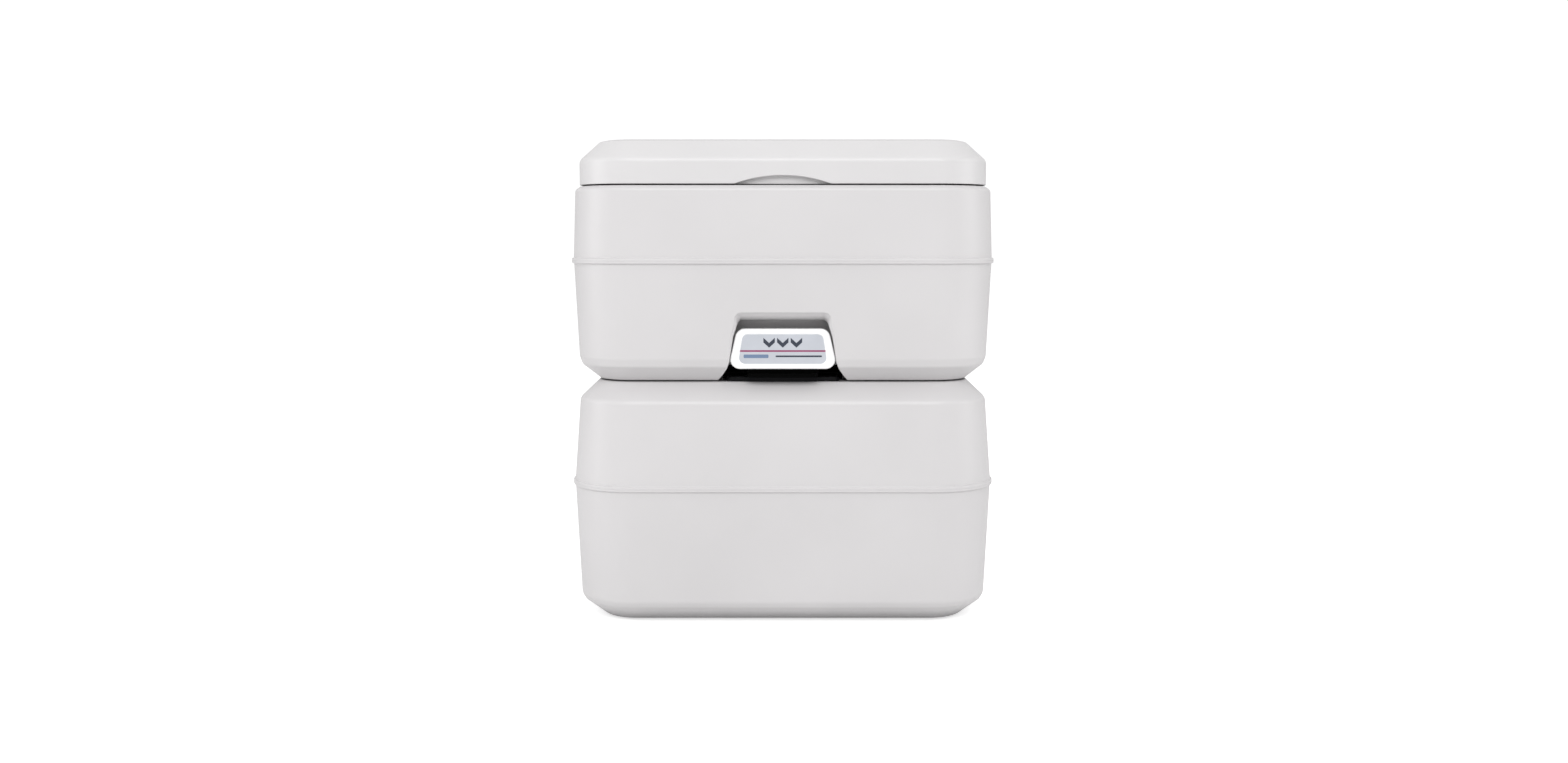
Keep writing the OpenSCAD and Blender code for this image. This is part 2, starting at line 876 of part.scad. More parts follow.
lid_r = corner_r - lid_inset;
lid_front = -half_y + lid_inset;
lid_mid = (lid_front + lid_back) / 2;
lid_cy = (lid_back - lid_front) / 2 - lid_r;
lid_side = [[0, lid_z], [0, lid_top - 17], [-17.5, lid_top - 1.2], [-21, lid_top]];
lid_inner_side = [[-lid_t, lid_z - eps], [-lid_t, lid_top - 19], [-20.5, lid_top - lid_t]];
lid_tongue_z = lid_z + 21;
finger_half = 40;
finger_h = 6.8;
finger_depth = 5;
finger_r = (finger_half * finger_half + finger_h * finger_h) / (2 * finger_h);

module lid_lugs() {
  both_sides() {
    at_hinge() rod_x(knuckle_r, lid_lug[0], lid_lug[1]);
    block([lid_lug[0], lid_back - 2, lid_z + 1], [lid_lug[1], hinge_y, lid_z + 12]);
  }
}

module lid() {
  color(plastic) difference() {
    union() {
      difference() {
        translate([0, lid_mid, 0]) form(lid_side, lid_r, corner_x, lid_cy);
        translate([0, lid_mid, 0]) form(lid_inner_side, lid_r, corner_x, lid_cy);
        centred(lid_tongue_half, lid_back - lid_t - 1, lid_back + 1, lid_z - 1, lid_tongue_z);
      }
      intersection() {
        translate([0, lid_mid, 0]) form(lid_side, lid_r, corner_x, lid_cy);
        centred(finger_half + 4, lid_front, lid_front + 9, lid_z, lid_z + finger_h + 4);
      }
      lid_lugs();
    }
    translate([0, lid_front + finger_depth, lid_z + finger_h - finger_r])
      rotate([90, 0, 0]) cylinder(r = finger_r, h = finger_depth + 2, $fn = 128);
    at_hinge() rod_x(pin_r + run_gap, -lid_lug[1] - eps, lid_lug[1] + eps);
  }
}

module lid_bumpers() {
  bumper_x = 120;
  color(rubber) for (sx = [-1, 1], y = [-150, 60])
    translate([sx * bumper_x, y, 0]) post(lid_bumper_r, seat_top, lid_top - lid_t);
}

waste_tank_lower();
waste_tank_upper();
valve_base();
valve_seal();
valve_cover();
valve_screws();
valve_blade();
pull_handle();
handle_label();
spout_collar();
spout_ring_seal();
pour_spout();
spout_cap();
spout_cap_gasket();
vent_body();
vent_button();
vent_spring();
vent_seal();
carry_handle();
carry_handle_pins();
latch_catch();
latch_lever();
latch_hook();
latch_pin();
flush_tank_lower();
flush_tank_upper();
bowl();
bowl_seal();
rim_nozzle();
flush_hose();
pump_well();
pump_valve_block();
pickup_tube();
water_strainer();
pump_bellows();
pump_knob();
fill_cap();
fill_cap_gasket();
hinge_pin();
seat();
seat_bumpers();
lid();
lid_bumpers();
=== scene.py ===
"""Portable camp toilet: the moulded shells, caps, pump, seat and lid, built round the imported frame.

Lengths in this script are millimetres, X to the right, Y to the rear, Z up; MM turns them into metres.
"""

import math

import bmesh
import bpy
from mathutils import Matrix, Vector


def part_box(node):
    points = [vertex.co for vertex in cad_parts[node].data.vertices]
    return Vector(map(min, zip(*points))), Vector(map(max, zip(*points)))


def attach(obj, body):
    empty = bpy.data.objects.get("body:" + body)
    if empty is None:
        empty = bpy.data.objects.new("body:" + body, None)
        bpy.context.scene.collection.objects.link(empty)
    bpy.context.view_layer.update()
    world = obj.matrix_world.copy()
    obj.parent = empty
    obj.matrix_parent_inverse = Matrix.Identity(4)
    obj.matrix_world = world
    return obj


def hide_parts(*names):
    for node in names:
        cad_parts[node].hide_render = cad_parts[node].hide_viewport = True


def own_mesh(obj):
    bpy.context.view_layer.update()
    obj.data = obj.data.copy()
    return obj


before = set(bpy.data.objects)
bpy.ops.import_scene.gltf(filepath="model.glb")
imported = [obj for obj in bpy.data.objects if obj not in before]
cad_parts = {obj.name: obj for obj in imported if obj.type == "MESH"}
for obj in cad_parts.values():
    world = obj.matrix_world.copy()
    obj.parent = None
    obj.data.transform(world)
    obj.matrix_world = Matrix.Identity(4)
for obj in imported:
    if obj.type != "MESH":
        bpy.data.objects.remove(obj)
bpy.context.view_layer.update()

MM = 0.001


def low(node):
    """Lowest corner of a CAD node, in millimetres."""
    return Vector(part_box(node)[0]) / MM


def high(node):
    """Highest corner of a CAD node, in millimetres."""
    return Vector(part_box(node)[1]) / MM


def middle(node):
    return (low(node) + high(node)) / 2


# ---------------------------------------------------------------- sizes, from the frame

FLANGE_OUT = 4.0
FLUSH_FLANGE_OUT = 2.8
HALF_X = high("waste_tank_lower").x - FLANGE_OUT
HALF_Y = high("waste_tank_lower").y - FLANGE_OUT
CORNER_R = 52.0
WALL = 4.0
HALF_FLANGE = 2.5
HALF_EDGE = 2.1
WASTE_WELD = high("waste_tank_lower").z
WASTE_TOP = high("waste_tank_upper").z
FLUSH_WELD = high("flush_tank_lower").z
DECK = low("fill_cap").z - 1.0
LID_Z = low("lid").z
LID_TOP = high("lid").z
LID_FRONT = low("lid").y
LID_BACK = 186.0
LID_HALF = high("lid").x
HINGE = middle("hinge_pin")
BOWL = Vector((0, middle("bowl").y, 0))
PUMP = Vector((middle("pump_knob").x, middle("pump_knob").y, 0))
FILLER = Vector((middle("fill_cap").x, middle("fill_cap").y, 0))

# ---------------------------------------------------------------- meshes


def soften(points, steps=5):
    """A profile of (a, b, radius) points, with each corner rounded by its radius."""
    out = []
    for i, (a, b, radius) in enumerate(points):
        here = Vector((a, b))
        if radius <= 0 or i in (0, len(points) - 1):
            out.append((a, b))
            continue
        back = Vector(points[i - 1][:2]) - here
        ahead = Vector(points[i + 1][:2]) - here
        turn = math.pi - back.angle(ahead)
        reach = min(radius * math.tan(turn / 2), back.length * 0.48, ahead.length * 0.48)
        start = here + back.normalized() * reach
        end = here + ahead.normalized() * reach
        for k in range(steps + 1):
            t = k / steps
            out.append(tuple(start * (1 - t) ** 2 + here * 2 * t * (1 - t) + end * t * t))
    return out


def rounded(hx, hy, radius, corner=12, side=6):
    """Points round a rounded rectangle about the origin, anticlockwise."""
    radius = max(min(radius, hx, hy), 0.2)
    arcs = []
    for quarter, (sx, sy) in enumerate(((1, 1), (-1, 1), (-1, -1), (1, -1))):
        start = quarter * math.pi / 2
        centre = Vector((sx * (hx - radius), sy * (hy - radius)))
        angles = [start + k * math.pi / 2 / corner for k in range(corner + 1)]
        arcs.append([centre + radius * Vector((math.cos(a), math.sin(a))) for a in angles])
    points = []
    for i, arc in enumerate(arcs):
        points += arc
        after = arcs[(i + 1) % 4][0]
        points += [arc[-1].lerp(after, k / side) for k in range(1, side)]
    return points


def place_object(name, data):
    obj = bpy.data.objects.new(name, data)
    bpy.context.scene.collection.objects.link(obj)
    return obj


def new_object(name, verts, faces):
    """An object in the shared frame, from points in millimetres."""
    mesh = bpy.data.meshes.new(name)
    mesh.from_pydata([Vector(v) * MM for v in verts], [], faces)
    bm = bmesh.new()
    bm.from_mesh(mesh)
    bmesh.ops.recalc_face_normals(bm, faces=bm.faces)
    bm.to_mesh(mesh)
    bm.free()
    return place_object(name, mesh)


def skin(name, rings, loop=False):
    """A closed solid through rings of equal length: capped at both ends, or joined into a loop."""
    count = len(rings[0])
    verts = [v for ring in rings for v in ring]
    faces = []
    pairs = len(rings) if loop else len(rings) - 1
    for i in range(pairs):
        a, b = i * count, ((i + 1) % len(rings)) * count
        for k in range(count):
            n = (k + 1) % count
            faces.append((a + k, a + n, b + n, b + k))
    if not loop:
        faces.append(tuple(range(count))[::-1])
        faces.append(tuple(range(len(verts) - count, len(verts))))
    return new_object(name, verts, faces)


def box_form(name, profile):
    """A rounded box whose walls follow a profile of (distance outside the wall, height)."""
    return skin(name, [
        [(p.x, p.y, z) for p in rounded(HALF_X + out, HALF_Y + out, CORNER_R + out)] for out, z in profile
    ])


def lathe(name, profile, centre=(0, 0, 0), axis="Z", count=64, ripple=None):
    """A turned solid from (radius, height) points. ripple(angle, radius) returns a radius."""
    rings = []
    for radius, height in profile:
        ring = []
        for k in range(count):
            angle = 2 * math.pi * k / count
            r = max(radius if ripple is None else ripple(angle, radius), 0.01)
            point = Vector((r * math.cos(angle), r * math.sin(angle), height))
            if axis == "X":
                point = Vector((point.z, point.x, point.y))
            ring.append(point + Vector(centre))
        rings.append(ring)
    closed = profile[0] == profile[-1]
    return skin(name, rings[:-1] if closed else rings, loop=closed)


def stack(name, rings2d, origin, u, v, w):
    """A solid through flat outlines: rings2d holds (outline, depth), placed on axes u, v and w."""
    origin, u, v, w = Vector(origin), Vector(u), Vector(v), Vector(w)
    rings = [[origin + u * p[0] + v * p[1] + w * depth for p in outline] for outline, depth in rings2d]
    return skin(name, rings)


def apply(obj, kind, **settings):
    """Adds a modifier, applies it and leaves the mesh changed."""
    modifier = obj.modifiers.new(kind.lower(), kind)
    for key, value in settings.items():
        setattr(modifier, key, value)
    graph = bpy.context.evaluated_depsgraph_get()
    mesh = bpy.data.meshes.new_from_object(obj.evaluated_get(graph))
    obj.modifiers.clear()
    old = obj.data
    obj.data = mesh
    mesh.name = obj.name
    bpy.data.meshes.remove(old)


def combine(obj, others, operation):
    """Cuts or fuses the other objects into obj and deletes them."""
    for other in others:
        apply(obj, "BOOLEAN", object=other, operation=operation, solver="EXACT")
        bpy.data.objects.remove(other)
    return obj


def cut(obj, *others):
    return combine(obj, others, "DIFFERENCE")


def fuse(obj, *others):
    return combine(obj, others, "UNION")


def tidy(obj, angle):
    """Welds stray points, then smooths faces except across sharp edges."""
    bm = bmesh.new()
    bm.from_mesh(obj.data)
    bmesh.ops.remove_doubles(bm, verts=bm.verts, dist=0.02 * MM)
    bmesh.ops.dissolve_degenerate(bm, edges=bm.edges, dist=0.01 * MM)
    bmesh.ops.recalc_face_normals(bm, faces=bm.faces)
    bm.to_mesh(obj.data)
    bm.free()
    obj.data.shade_smooth()
    obj.data.set_sharp_from_angle(angle=math.radians(angle))
    weighted = obj.modifiers.new("weighted", "WEIGHTED_NORMAL")
    weighted.keep_sharp = True
    weighted.weight = 80


def piece(obj, body, finish, *nodes, angle=35.0):
    """Finishes a piece: its shading and material, the nodes it stands for and its body."""
    slot, material = finish
    tidy(obj, angle)
    obj.data.materials.clear()
    obj.data.materials.append(material)
    if nodes:
        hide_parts(*nodes)
    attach(obj, body)
    return obj


def turned(name, profile, place, body, finish, node, steps=5, axis="Z", count=64, ripple=None, angle=35.0):
    """A finished piece turned from a profile with rounded corners."""
    solid = lathe(name, soften(profile, steps), place, axis, count, ripple)
    return piece(solid, body, finish, node, angle=angle)


# ---------------------------------------------------------------- materials


def feed(tree, socket, value):
    """Links a socket to another one, or sets its value."""
    if isinstance(value, bpy.types.NodeSocket):
        tree.links.new(value, socket)
    else:
        socket.default_value = value


def remap(tree, value, start, end, value_low=0.0, value_high=1.0):
    """Maps a value between two limits to a range from start to end."""
    node = tree.nodes.new("ShaderNodeMapRange")
    for key, given in (("Value", value), ("From Min", value_low), ("From Max", value_high),
                       ("To Min", start), ("To Max", end)):
        feed(tree, node.inputs[key], given)
    return node.outputs["Result"]


def to_camera(tree, seen, felt):
    """One value for what the camera sees directly and another for what lights the object."""
    path = tree.nodes.new("ShaderNodeLightPath").outputs["Is Camera Ray"]
    return remap(tree, path, felt, seen)


NOISE_LOW, NOISE_HIGH = 0.3, 0.7
# Reach of the ambient occlusion that paints shade into crevices and recesses.
CREVICE_SHADE_REACH = 18.0


class Nodes:
    """A small hand on a material's node tree."""

    def __init__(self, name):
        self.material = bpy.data.materials.new(name)
        self.material.use_nodes = True
        self.tree = self.material.node_tree
        self.shader = self.tree.nodes["Principled BSDF"]
        self.place = self.add("ShaderNodeTexCoord").outputs["Object"]

    def add(self, kind, **inputs):
        node = self.tree.nodes.new(kind)
        for key, value in inputs.items():
            feed(self.tree, node.inputs[key.replace("_", " ")], value)
        return node

    def noise(self, scale, detail=4.0, stretch=None):
        place = self.place
        if stretch:
            place = self.add("ShaderNodeMapping", Vector=place, Scale=stretch).outputs["Vector"]
        return self.add("ShaderNodeTexNoise", Vector=place, Scale=scale, Detail=detail).outputs["Fac"]

    def spread(self, value, start, end):
        """Maps the middle of a noise value to a range."""
        return remap(self.tree, value, start, end, NOISE_LOW, NOISE_HIGH)

    def mix(self, factor, first, second):
        node = self.tree.nodes.new("ShaderNodeMix")
        node.data_type = "RGBA"
        for key, value in ((0, factor), (6, first), (7, second)):
            feed(self.tree, node.inputs[key], value)
        return node.outputs[2]

    def bump(self, height, strength, distance, under=None):
        node = self.add("ShaderNodeBump", Height=height, Strength=strength, Distance=distance)
        if under is not None:
            feed(self.tree, node.inputs["Normal"], under)
        return node.outputs["Normal"]

    def crevice_shade(self, reach, strength):
        """A painted shade factor from ambient occlusion: 1 in the open, falling towards 1 - strength deep in
        gaps and recesses.
        """
        node = self.add("ShaderNodeAmbientOcclusion", Distance=reach * MM)
        node.samples = 8
        return remap(self.tree, node.outputs["AO"], 1 - strength, 1.0, 0.0, 0.5)

    def set(self, **inputs):
        """Sets the shader's inputs; an underscore stands for a space in their names."""
        for key, value in inputs.items():
            feed(self.tree, self.shader.inputs[key.replace("_", " ")], value)


def shade(colour, factor):
    return tuple(min(c * factor, 1.0) for c in colour) + (1.0,)


def plastic(name, colour, rough, grain=900.0, grain_depth=0.02, drift=0.03, gloss=0.5, crevice_shade=0.0):
    """Moulded plastic: a fine grain, slow waves in the wall, small changes of tone and sheen, and
    painted shade that darkens the colour in crevices and recesses."""
    m = Nodes(name)
    cloud = m.spread(m.noise(9.0, 3.0), 0.0, 1.0)
    tone = m.mix(cloud, shade(colour, 1 - drift), shade(colour, 1 + drift * 0.6))
    # Painted shade: ambient occlusion darkens the colour in gaps and recesses towards 0.12 of itself.
    if crevice_shade:
        tone = m.mix(m.crevice_shade(CREVICE_SHADE_REACH, crevice_shade), shade(colour, 0.12), tone)
    waves = m.bump(m.noise(22.0, 1.0), 0.10, 0.0012)
    m.set(
        Base_Color=tone,
        Roughness=m.spread(m.noise(260.0), rough - 0.06, rough + 0.06),
        Specular_IOR_Level=gloss,
        Normal=m.bump(m.noise(grain, 2.0), 0.35, grain_depth * MM, waves),
    )
    return m.material


def rubber(name):
    m = Nodes(name)
    bloom = m.spread(m.noise(60.0), 0.0, 1.0)
    m.set(
        Base_Color=m.mix(bloom, (0.012, 0.012, 0.013, 1), (0.03, 0.03, 0.031, 1)),
        Roughness=m.spread(m.noise(400.0), 0.62, 0.8),
        Normal=m.bump(m.noise(1400.0, 2.0), 0.4, 0.03 * MM),
    )
    return m.material


def steel(name):
    """Stainless steel with a fine brushed grain along X."""
    m = Nodes(name)
    brush = m.noise(300.0, 3.0, (0.04, 6.0, 6.0))
    m.set(
        Metallic=1.0,
        Base_Color=m.mix(m.spread(brush, 0, 1), (0.50, 0.50, 0.51, 1), (0.66, 0.66, 0.66, 1)),
        Roughness=m.spread(brush, 0.24, 0.4),
        Normal=m.bump(brush, 0.3, 0.02 * MM),
    )
    return m.material


def film(name, colour):
    """Printed label film: faint mottling under a satin overlay."""
    m = Nodes(name)
    mottle = m.spread(m.noise(45.0, 5.0), 0.0, 1.0)
    m.set(
        Base_Color=m.mix(mottle, shade(colour, 0.95), shade(colour, 1.04)),
        Roughness=m.spread(m.noise(500.0), 0.32, 0.46),
        Coat_Weight=0.2,
        Normal=m.bump(m.noise(700.0, 2.0), 0.25, 0.01 * MM),
    )
    return m.material


# The shell and lid crevice settings give the strength of the painted shade in their gaps and recesses.
SHELL = "white_shell", plastic("satin white plastic", (0.55, 0.538, 0.543), 0.40, crevice_shade=0.68)
# The lid's plastic is the shell's white made a little lighter: painted light that makes the lid brighter than
# the tanks.
LID = "white_shell", plastic("lid white plastic painted lighter", (0.575, 0.566, 0.57), 0.38, crevice_shade=0.5)
SEAT = "white_shell", plastic("smooth white plastic", (0.58, 0.573, 0.577), 0.32, 1300.0, 0.01)
GLOSS = "white_gloss", plastic("gloss white plastic", (0.90, 0.90, 0.90), 0.22, 1500.0, 0.006, 0.015)
BOWL_WHITE = "white_gloss", plastic("bowl white plastic", (0.64, 0.638, 0.645), 0.2, 1500.0, 0.006, 0.015)
GREY = "grey_plastic", plastic("mid grey plastic", (0.24, 0.255, 0.28), 0.45, drift=0.08)
DARK = "dark_plastic", plastic("black plastic", (0.004, 0.004, 0.005), 0.6, drift=0.2, gloss=0.12)
# The blade's plastic is really black; it is made darker and glossless as painted shade so that the stem below
# the pull handle reads as shadow.
BLACK_SHADE = "dark_plastic", plastic("matt black plastic darkened as painted shade", (0.0015, 0.0015, 0.0015), 0.85, gloss=0.02)
RUBBER = "seal_rubber", rubber("black rubber")
STEEL = "steel", steel("brushed stainless steel")
LABEL = "label", film("label film", (0.46, 0.478, 0.52))
INK = "label", film("dark print", (0.02, 0.026, 0.045))
ROSE = "label", film("rose print", (0.26, 0.055, 0.13))
SLATE = "label", film("slate print", (0.13, 0.19, 0.30))


# ---------------------------------------------------------------- outlines and cutters


def dome(ring, rise, scales):
    """Rings inside a flat ring, rising to its centre."""
    centre = sum((Vector(p) for p in ring), Vector()) / len(ring)
    out = []
    for s in scales:
        lift = Vector((0, 0, rise * (1 - s * s)))
        out.append([centre + (Vector(p) - centre) * s + lift for p in ring])
    return out


def lip_angles(steps=5, first=20):
    return [math.radians(first + (90 - first) * k / steps) for k in range(steps + 1)]


def pocket(outline, origin, u, v, w, depth, lip=1.5, floor=2.0, over=14.0):
    """A cutter with a flared mouth and a filleted floor. outline(grow) gives its flat points."""
    rings = [(outline(lip), -over)]
    rings += [(outline(lip * (1 - math.sin(t))), lip * (1 - math.cos(t))) for t in lip_angles()]
    for t in lip_angles(4, 0)[::-1]:
        rings.append((outline(-floor * (1 - math.sin(t))), depth - floor + floor * math.cos(t)))
    return stack("cutter", rings, origin, u, v, w)


def plate_outline(hx, hy, radius):
    return lambda grow: rounded(hx + grow, hy + grow, radius + grow, corner=6, side=3)


def disc_outline(radius):
    angles = [2 * math.pi * k / 72 for k in range(72)]
    return lambda grow: [Vector((math.cos(a), math.sin(a))) * (radius + grow) for a in angles]


def normals2d(points):
    """Outward normals of an anticlockwise outline."""
    out = []
    for i, p in enumerate(points):
        along = Vector(points[(i + 1) % len(points)]) - Vector(points[i - 1])
        out.append(Vector((along.y, -along.x)).normalized())
    return out


def mirror_outline(side):
    """A closed anticlockwise outline from its right half, given from the bottom up."""
    right = [Vector(p) for p in side]
    left = [Vector((-p.x, p.y)) for p in reversed(right)]
    return right + left


X, Y, Z = Vector((1, 0, 0)), Vector((0, 1, 0)), Vector((0, 0, 1))
DOWN = -Z


def hole_down(radius, place, top, depth, lip=1.0):
    """A round cutter that goes down from a face."""
    return pocket(disc_outline(radius), place + Z * top, X, Y, DOWN, depth, lip, 0.4)


def bar_x(radius, x0, x1, y, z, bevel=0.8, count=40):
    """A turned bar along X with eased ends."""
    profile = soften([(0, x0, 0), (radius, x0, bevel), (radius, x1, bevel), (0, x1, 0)], 3)
    return lathe("bar", profile[1:-1], (0, y, z), "X", count)


def slab(name, lo, hi, radius=2.0, ease=0.8):
    """A plate or block with rounded upright corners and eased top and bottom edges."""
    lo, hi = Vector(lo), Vector(hi)
    mid, half = (lo + hi) / 2, (hi - lo) / 2
    rings = [(ease, lo.z), (ease * 0.3, lo.z + ease * 0.3), (0, lo.z + ease),
             (0, hi.z - ease), (ease * 0.3, hi.z - ease * 0.3), (ease, hi.z)]
    return skin(name, [
        [(p.x + mid.x, p.y + mid.y, z) for p in rounded(half.x - e, half.y - e, radius - e, 5, 2)]
        for e, z in rings
    ])


# ---------------------------------------------------------------- tanks

SPOUT = Vector((-132.0, 162.0, 0.0))
NOTCH_LOW = Vector((-165.0, 127.0, WASTE_TOP - 78))
NOTCH_HIGH = Vector((-22.0, HALF_Y + 12, WASTE_TOP))
GRIP_LOW = Vector((38.0, HALF_Y - 32, WASTE_TOP - 70))
GRIP_HIGH = Vector((146.0, HALF_Y, WASTE_TOP - 10))
CATCH_LOW = Vector((-16.0, HALF_Y - 16, WASTE_TOP - 38))
CATCH_HIGH = Vector((16.0, HALF_Y, WASTE_TOP - 8))
VENT = Vector((middle("vent_button").x, middle("vent_button").y, 0))
LATCH = middle("latch_pin")
VALVE_R = 44.0
FRAME_FRONT = low("valve_cover").y
FRAME_BACK = high("valve_cover").y


def grown(lo, hi):
    """A block with room for a wall round a pocket."""
    extra = Vector((WALL, WALL, WALL))
    return slab("wall", lo - extra, hi + extra, 6, 2)


def hollow(profile, *walls):
    return cut(box_form("hollow", soften(profile)), *walls)


def waste_hollow():
    profile = [(-32, WALL, 0), (-10, 18, 6), (2 - WALL, WASTE_WELD, 2), (-3 - WALL, WASTE_TOP - 18, 4),
               (-22, WASTE_TOP - WALL, 0)]
    notch = grown(NOTCH_LOW, NOTCH_HIGH)
    vent = slab("wall", VENT + Vector((-26, -26, WASTE_TOP - 16)), VENT + Vector((26, 26, WASTE_TOP + 5)), 25)
    grip = grown(GRIP_LOW, GRIP_HIGH + Vector((0, 12, 0)))
    catch = grown(CATCH_LOW, CATCH_HIGH + Vector((0, 12, 0)))
    return hollow(profile, notch, vent, grip, catch)


def waste_lower():
    profile = [(-34, 0, 0), (-23, 1.5, 9), (-9.5, 12, 7), (-4.8, 15.5, 5), (-2.2, 20, 8),
               (2.3, WASTE_WELD - HALF_FLANGE, 0.9), (FLANGE_OUT, WASTE_WELD - HALF_EDGE, 0.9),
               (FLANGE_OUT, WASTE_WELD, 0.25), (FLANGE_OUT - 2, WASTE_WELD, 0)]
    tank = box_form("waste_tank_lower_shell", soften(profile))
    cut(tank, waste_hollow())
    piece(tank, "waste_tank", SHELL, "waste_tank_lower")


def rear_pocket(lo, hi, radius, lip=2.5):
    """A rounded pocket in the rear wall of a tank."""
    mid, half = (lo + hi) / 2, (hi - lo) / 2
    return pocket(plate_outline(half.x, half.z, radius), (mid.x, hi.y, mid.z), -X, Z, -Y, hi.y - lo.y, lip, 3)


def spout_notch():
    """The corner notch that holds the stowed pour spout, open at the back and the top."""
    mid = (NOTCH_LOW + NOTCH_HIGH) / 2
    half = (NOTCH_HIGH - NOTCH_LOW) / 2
    outline = plate_outline(half.x, half.y, 12)
    return pocket(outline, (mid.x, mid.y, WASTE_TOP), X, Y, DOWN, NOTCH_HIGH.z - NOTCH_LOW.z, 2.5, 5)


def waste_upper():
    profile = [(FLANGE_OUT - 2, WASTE_WELD, 0), (FLANGE_OUT, WASTE_WELD, 0.25),
               (FLANGE_OUT, WASTE_WELD + HALF_EDGE, 0.9), (2.4, WASTE_WELD + HALF_FLANGE, 0.9),
               (-3, WASTE_TOP - 16, 7), (-20, WASTE_TOP, 3), (-26, WASTE_TOP, 0)]
    tank = box_form("waste_tank_upper_shell", soften(profile))
    cut(tank, waste_hollow())
    cut(tank, spout_notch())
    cut(tank, rear_pocket(GRIP_LOW, GRIP_HIGH, 3.5), rear_pocket(CATCH_LOW, CATCH_HIGH, 5, 1.5))
    cut(tank, hole_down(VALVE_R, BOWL, WASTE_TOP, 12), hole_down(22, VENT, WASTE_TOP, 12, 1.5))
    cut(tank, hole_down(29.05, SPOUT, NOTCH_LOW.z, 9, 0.3), hole_down(12.05, VENT, WASTE_TOP - 12, 9, 0.3))
    piece(tank, "waste_tank", SHELL, "waste_tank_upper")


# Right half of the pull recess, from the seam up: (x, height above the seam, corner radius)
RECESS_SIDE = [(0, -8, 0), (56, -8, 0), (55.4, 1.2, 2), (51.6, 5.6, 5), (47.4, 12.0, 6), (45.2, 17.5, 6),
               (41.9, 38.5, 14), (37.6, 52.5, 4), (0, 52.5, 0)]
RECESS_SIDE_LIP = 2.4
RECESS_TOP_LIP = 10.0
RECESS_SCOOP = 0.9
RECESS_RISE = 18.0


def pull_recess():
    """The recess round the pull handle: a soft scoop above, a close lip at the sides."""
    outline = mirror_outline(soften(RECESS_SIDE, 4)[1:-1])
    normals = normals2d(outline)
    lips = [RECESS_SIDE_LIP + (RECESS_TOP_LIP - RECESS_SIDE_LIP) * max(n.y, 0) ** 2 for n in normals]
    face_y = -(HALF_Y - 2.0)

    def ring(out_share, depths):
        return [
            (p.x + n.x * l * out_share, face_y + d, WASTE_TOP + p.y + n.y * l * out_share)
            for p, n, l, d in zip(outline, normals, lips, depths)
        ]

    angles = lip_angles(8, 14)
    rings = [ring(1 - math.sin(angles[0]), [-14.0] * len(outline))]
    for t in angles:
        scoop = [l * (1 + RECESS_SCOOP * max(n.y, 0) ** 2) for l, n in zip(lips, normals)]
        rings.append(ring(1 - math.sin(t), [l * (1 - math.cos(t)) for l in scoop]))
    rings.append(ring(0, [40.0 - RECESS_RISE * p.y / RECESS_SIDE[-1][1] for p in outline]))
    return skin("recess", rings)


def flush_hollow():
    profile = [(-24, WASTE_TOP + WALL, 0), (-5 - WALL, WASTE_TOP + 17, 4), (1 - WALL, FLUSH_WELD, 2),
               (-1 - WALL, DECK - 4 - WALL, 3), (-6 - WALL, DECK - WALL, 0)]
    recess = slab("wall", (-62, -HALF_Y - 5, WASTE_TOP - 2), (62, -HALF_Y + 46, WASTE_TOP + 64), 6)
    cavity = slab("wall", (-75, FRAME_FRONT - 8, WASTE_TOP - 2), (75, FRAME_BACK + 8, WASTE_TOP + 17), 6)
    latch = slab("wall", (-22, LATCH.y - 14, LATCH.z - 16), (22, HALF_Y + 9, LATCH.z + 16), 6)
    return hollow(profile, recess, cavity, latch)


def flush_lower():
    groove = 1.1
    profile = [(-34, WASTE_TOP, 0), (-30, WASTE_TOP, 0.3), (-30, WASTE_TOP + groove, 0.3),
               (-20.6, WASTE_TOP + groove, 1.2), (-5, WASTE_TOP + 13.5, 5), (-2.7, WASTE_TOP + 20, 8),
               (1, FLUSH_WELD - HALF_FLANGE, 0.8), (FLUSH_FLANGE_OUT, FLUSH_WELD - HALF_EDGE, 0.9),
               (FLUSH_FLANGE_OUT, FLUSH_WELD, 0.25), (FLUSH_FLANGE_OUT - 2, FLUSH_WELD, 0)]
    tank = box_form("flush_tank_lower_shell", soften(profile))
    cut(tank, flush_hollow())
    cavity = slab("cavity", (-71, FRAME_FRONT - 4, WASTE_TOP - 9), (71, FRAME_BACK + 4, WASTE_TOP + 13), 6)
    mouth = slab("mouth", (-52, FRAME_FRONT - 20, WASTE_TOP - 9), (52, FRAME_FRONT, WASTE_TOP + 13), 4)
    pocket_low = Vector((-18, LATCH.y - 10, LATCH.z - 12))
    pocket_high = Vector((18, HALF_Y - 2, LATCH.z + 12))
    cut(tank, pull_recess(), cavity, mouth, rear_pocket(pocket_low, pocket_high, 4, 1.2))
    cut(tank, hole_down(54, BOWL, WASTE_TOP + 18, 9, 0.3))
    piece(tank, "flush_tank", SHELL, "flush_tank_lower")


HINGE_EYE_R = 6.5
HINGE_BORE_R = 3.05


def hinge_barrel(x0, x1):
    """A hinge eye about the pin, still undrilled."""
    return bar_x(HINGE_EYE_R, x0, x1, HINGE.y, HINGE.z, 0.7)


def eye_block(x0, x1, y0, y1, z0, z1):
    return slab("block", (x0, y0, z0), (x1, y1, z1), 1.2, 0.6)


def both(make, x0, x1):
    """The same part on the right and, mirrored, on the left: make(x0, x1) builds it between two X."""
    return [make(x0, x1), make(-x1, -x0)]


def pin_bore(half):
    return bar_x(HINGE_BORE_R, -half, half, HINGE.y, HINGE.z, 0.01, 32)


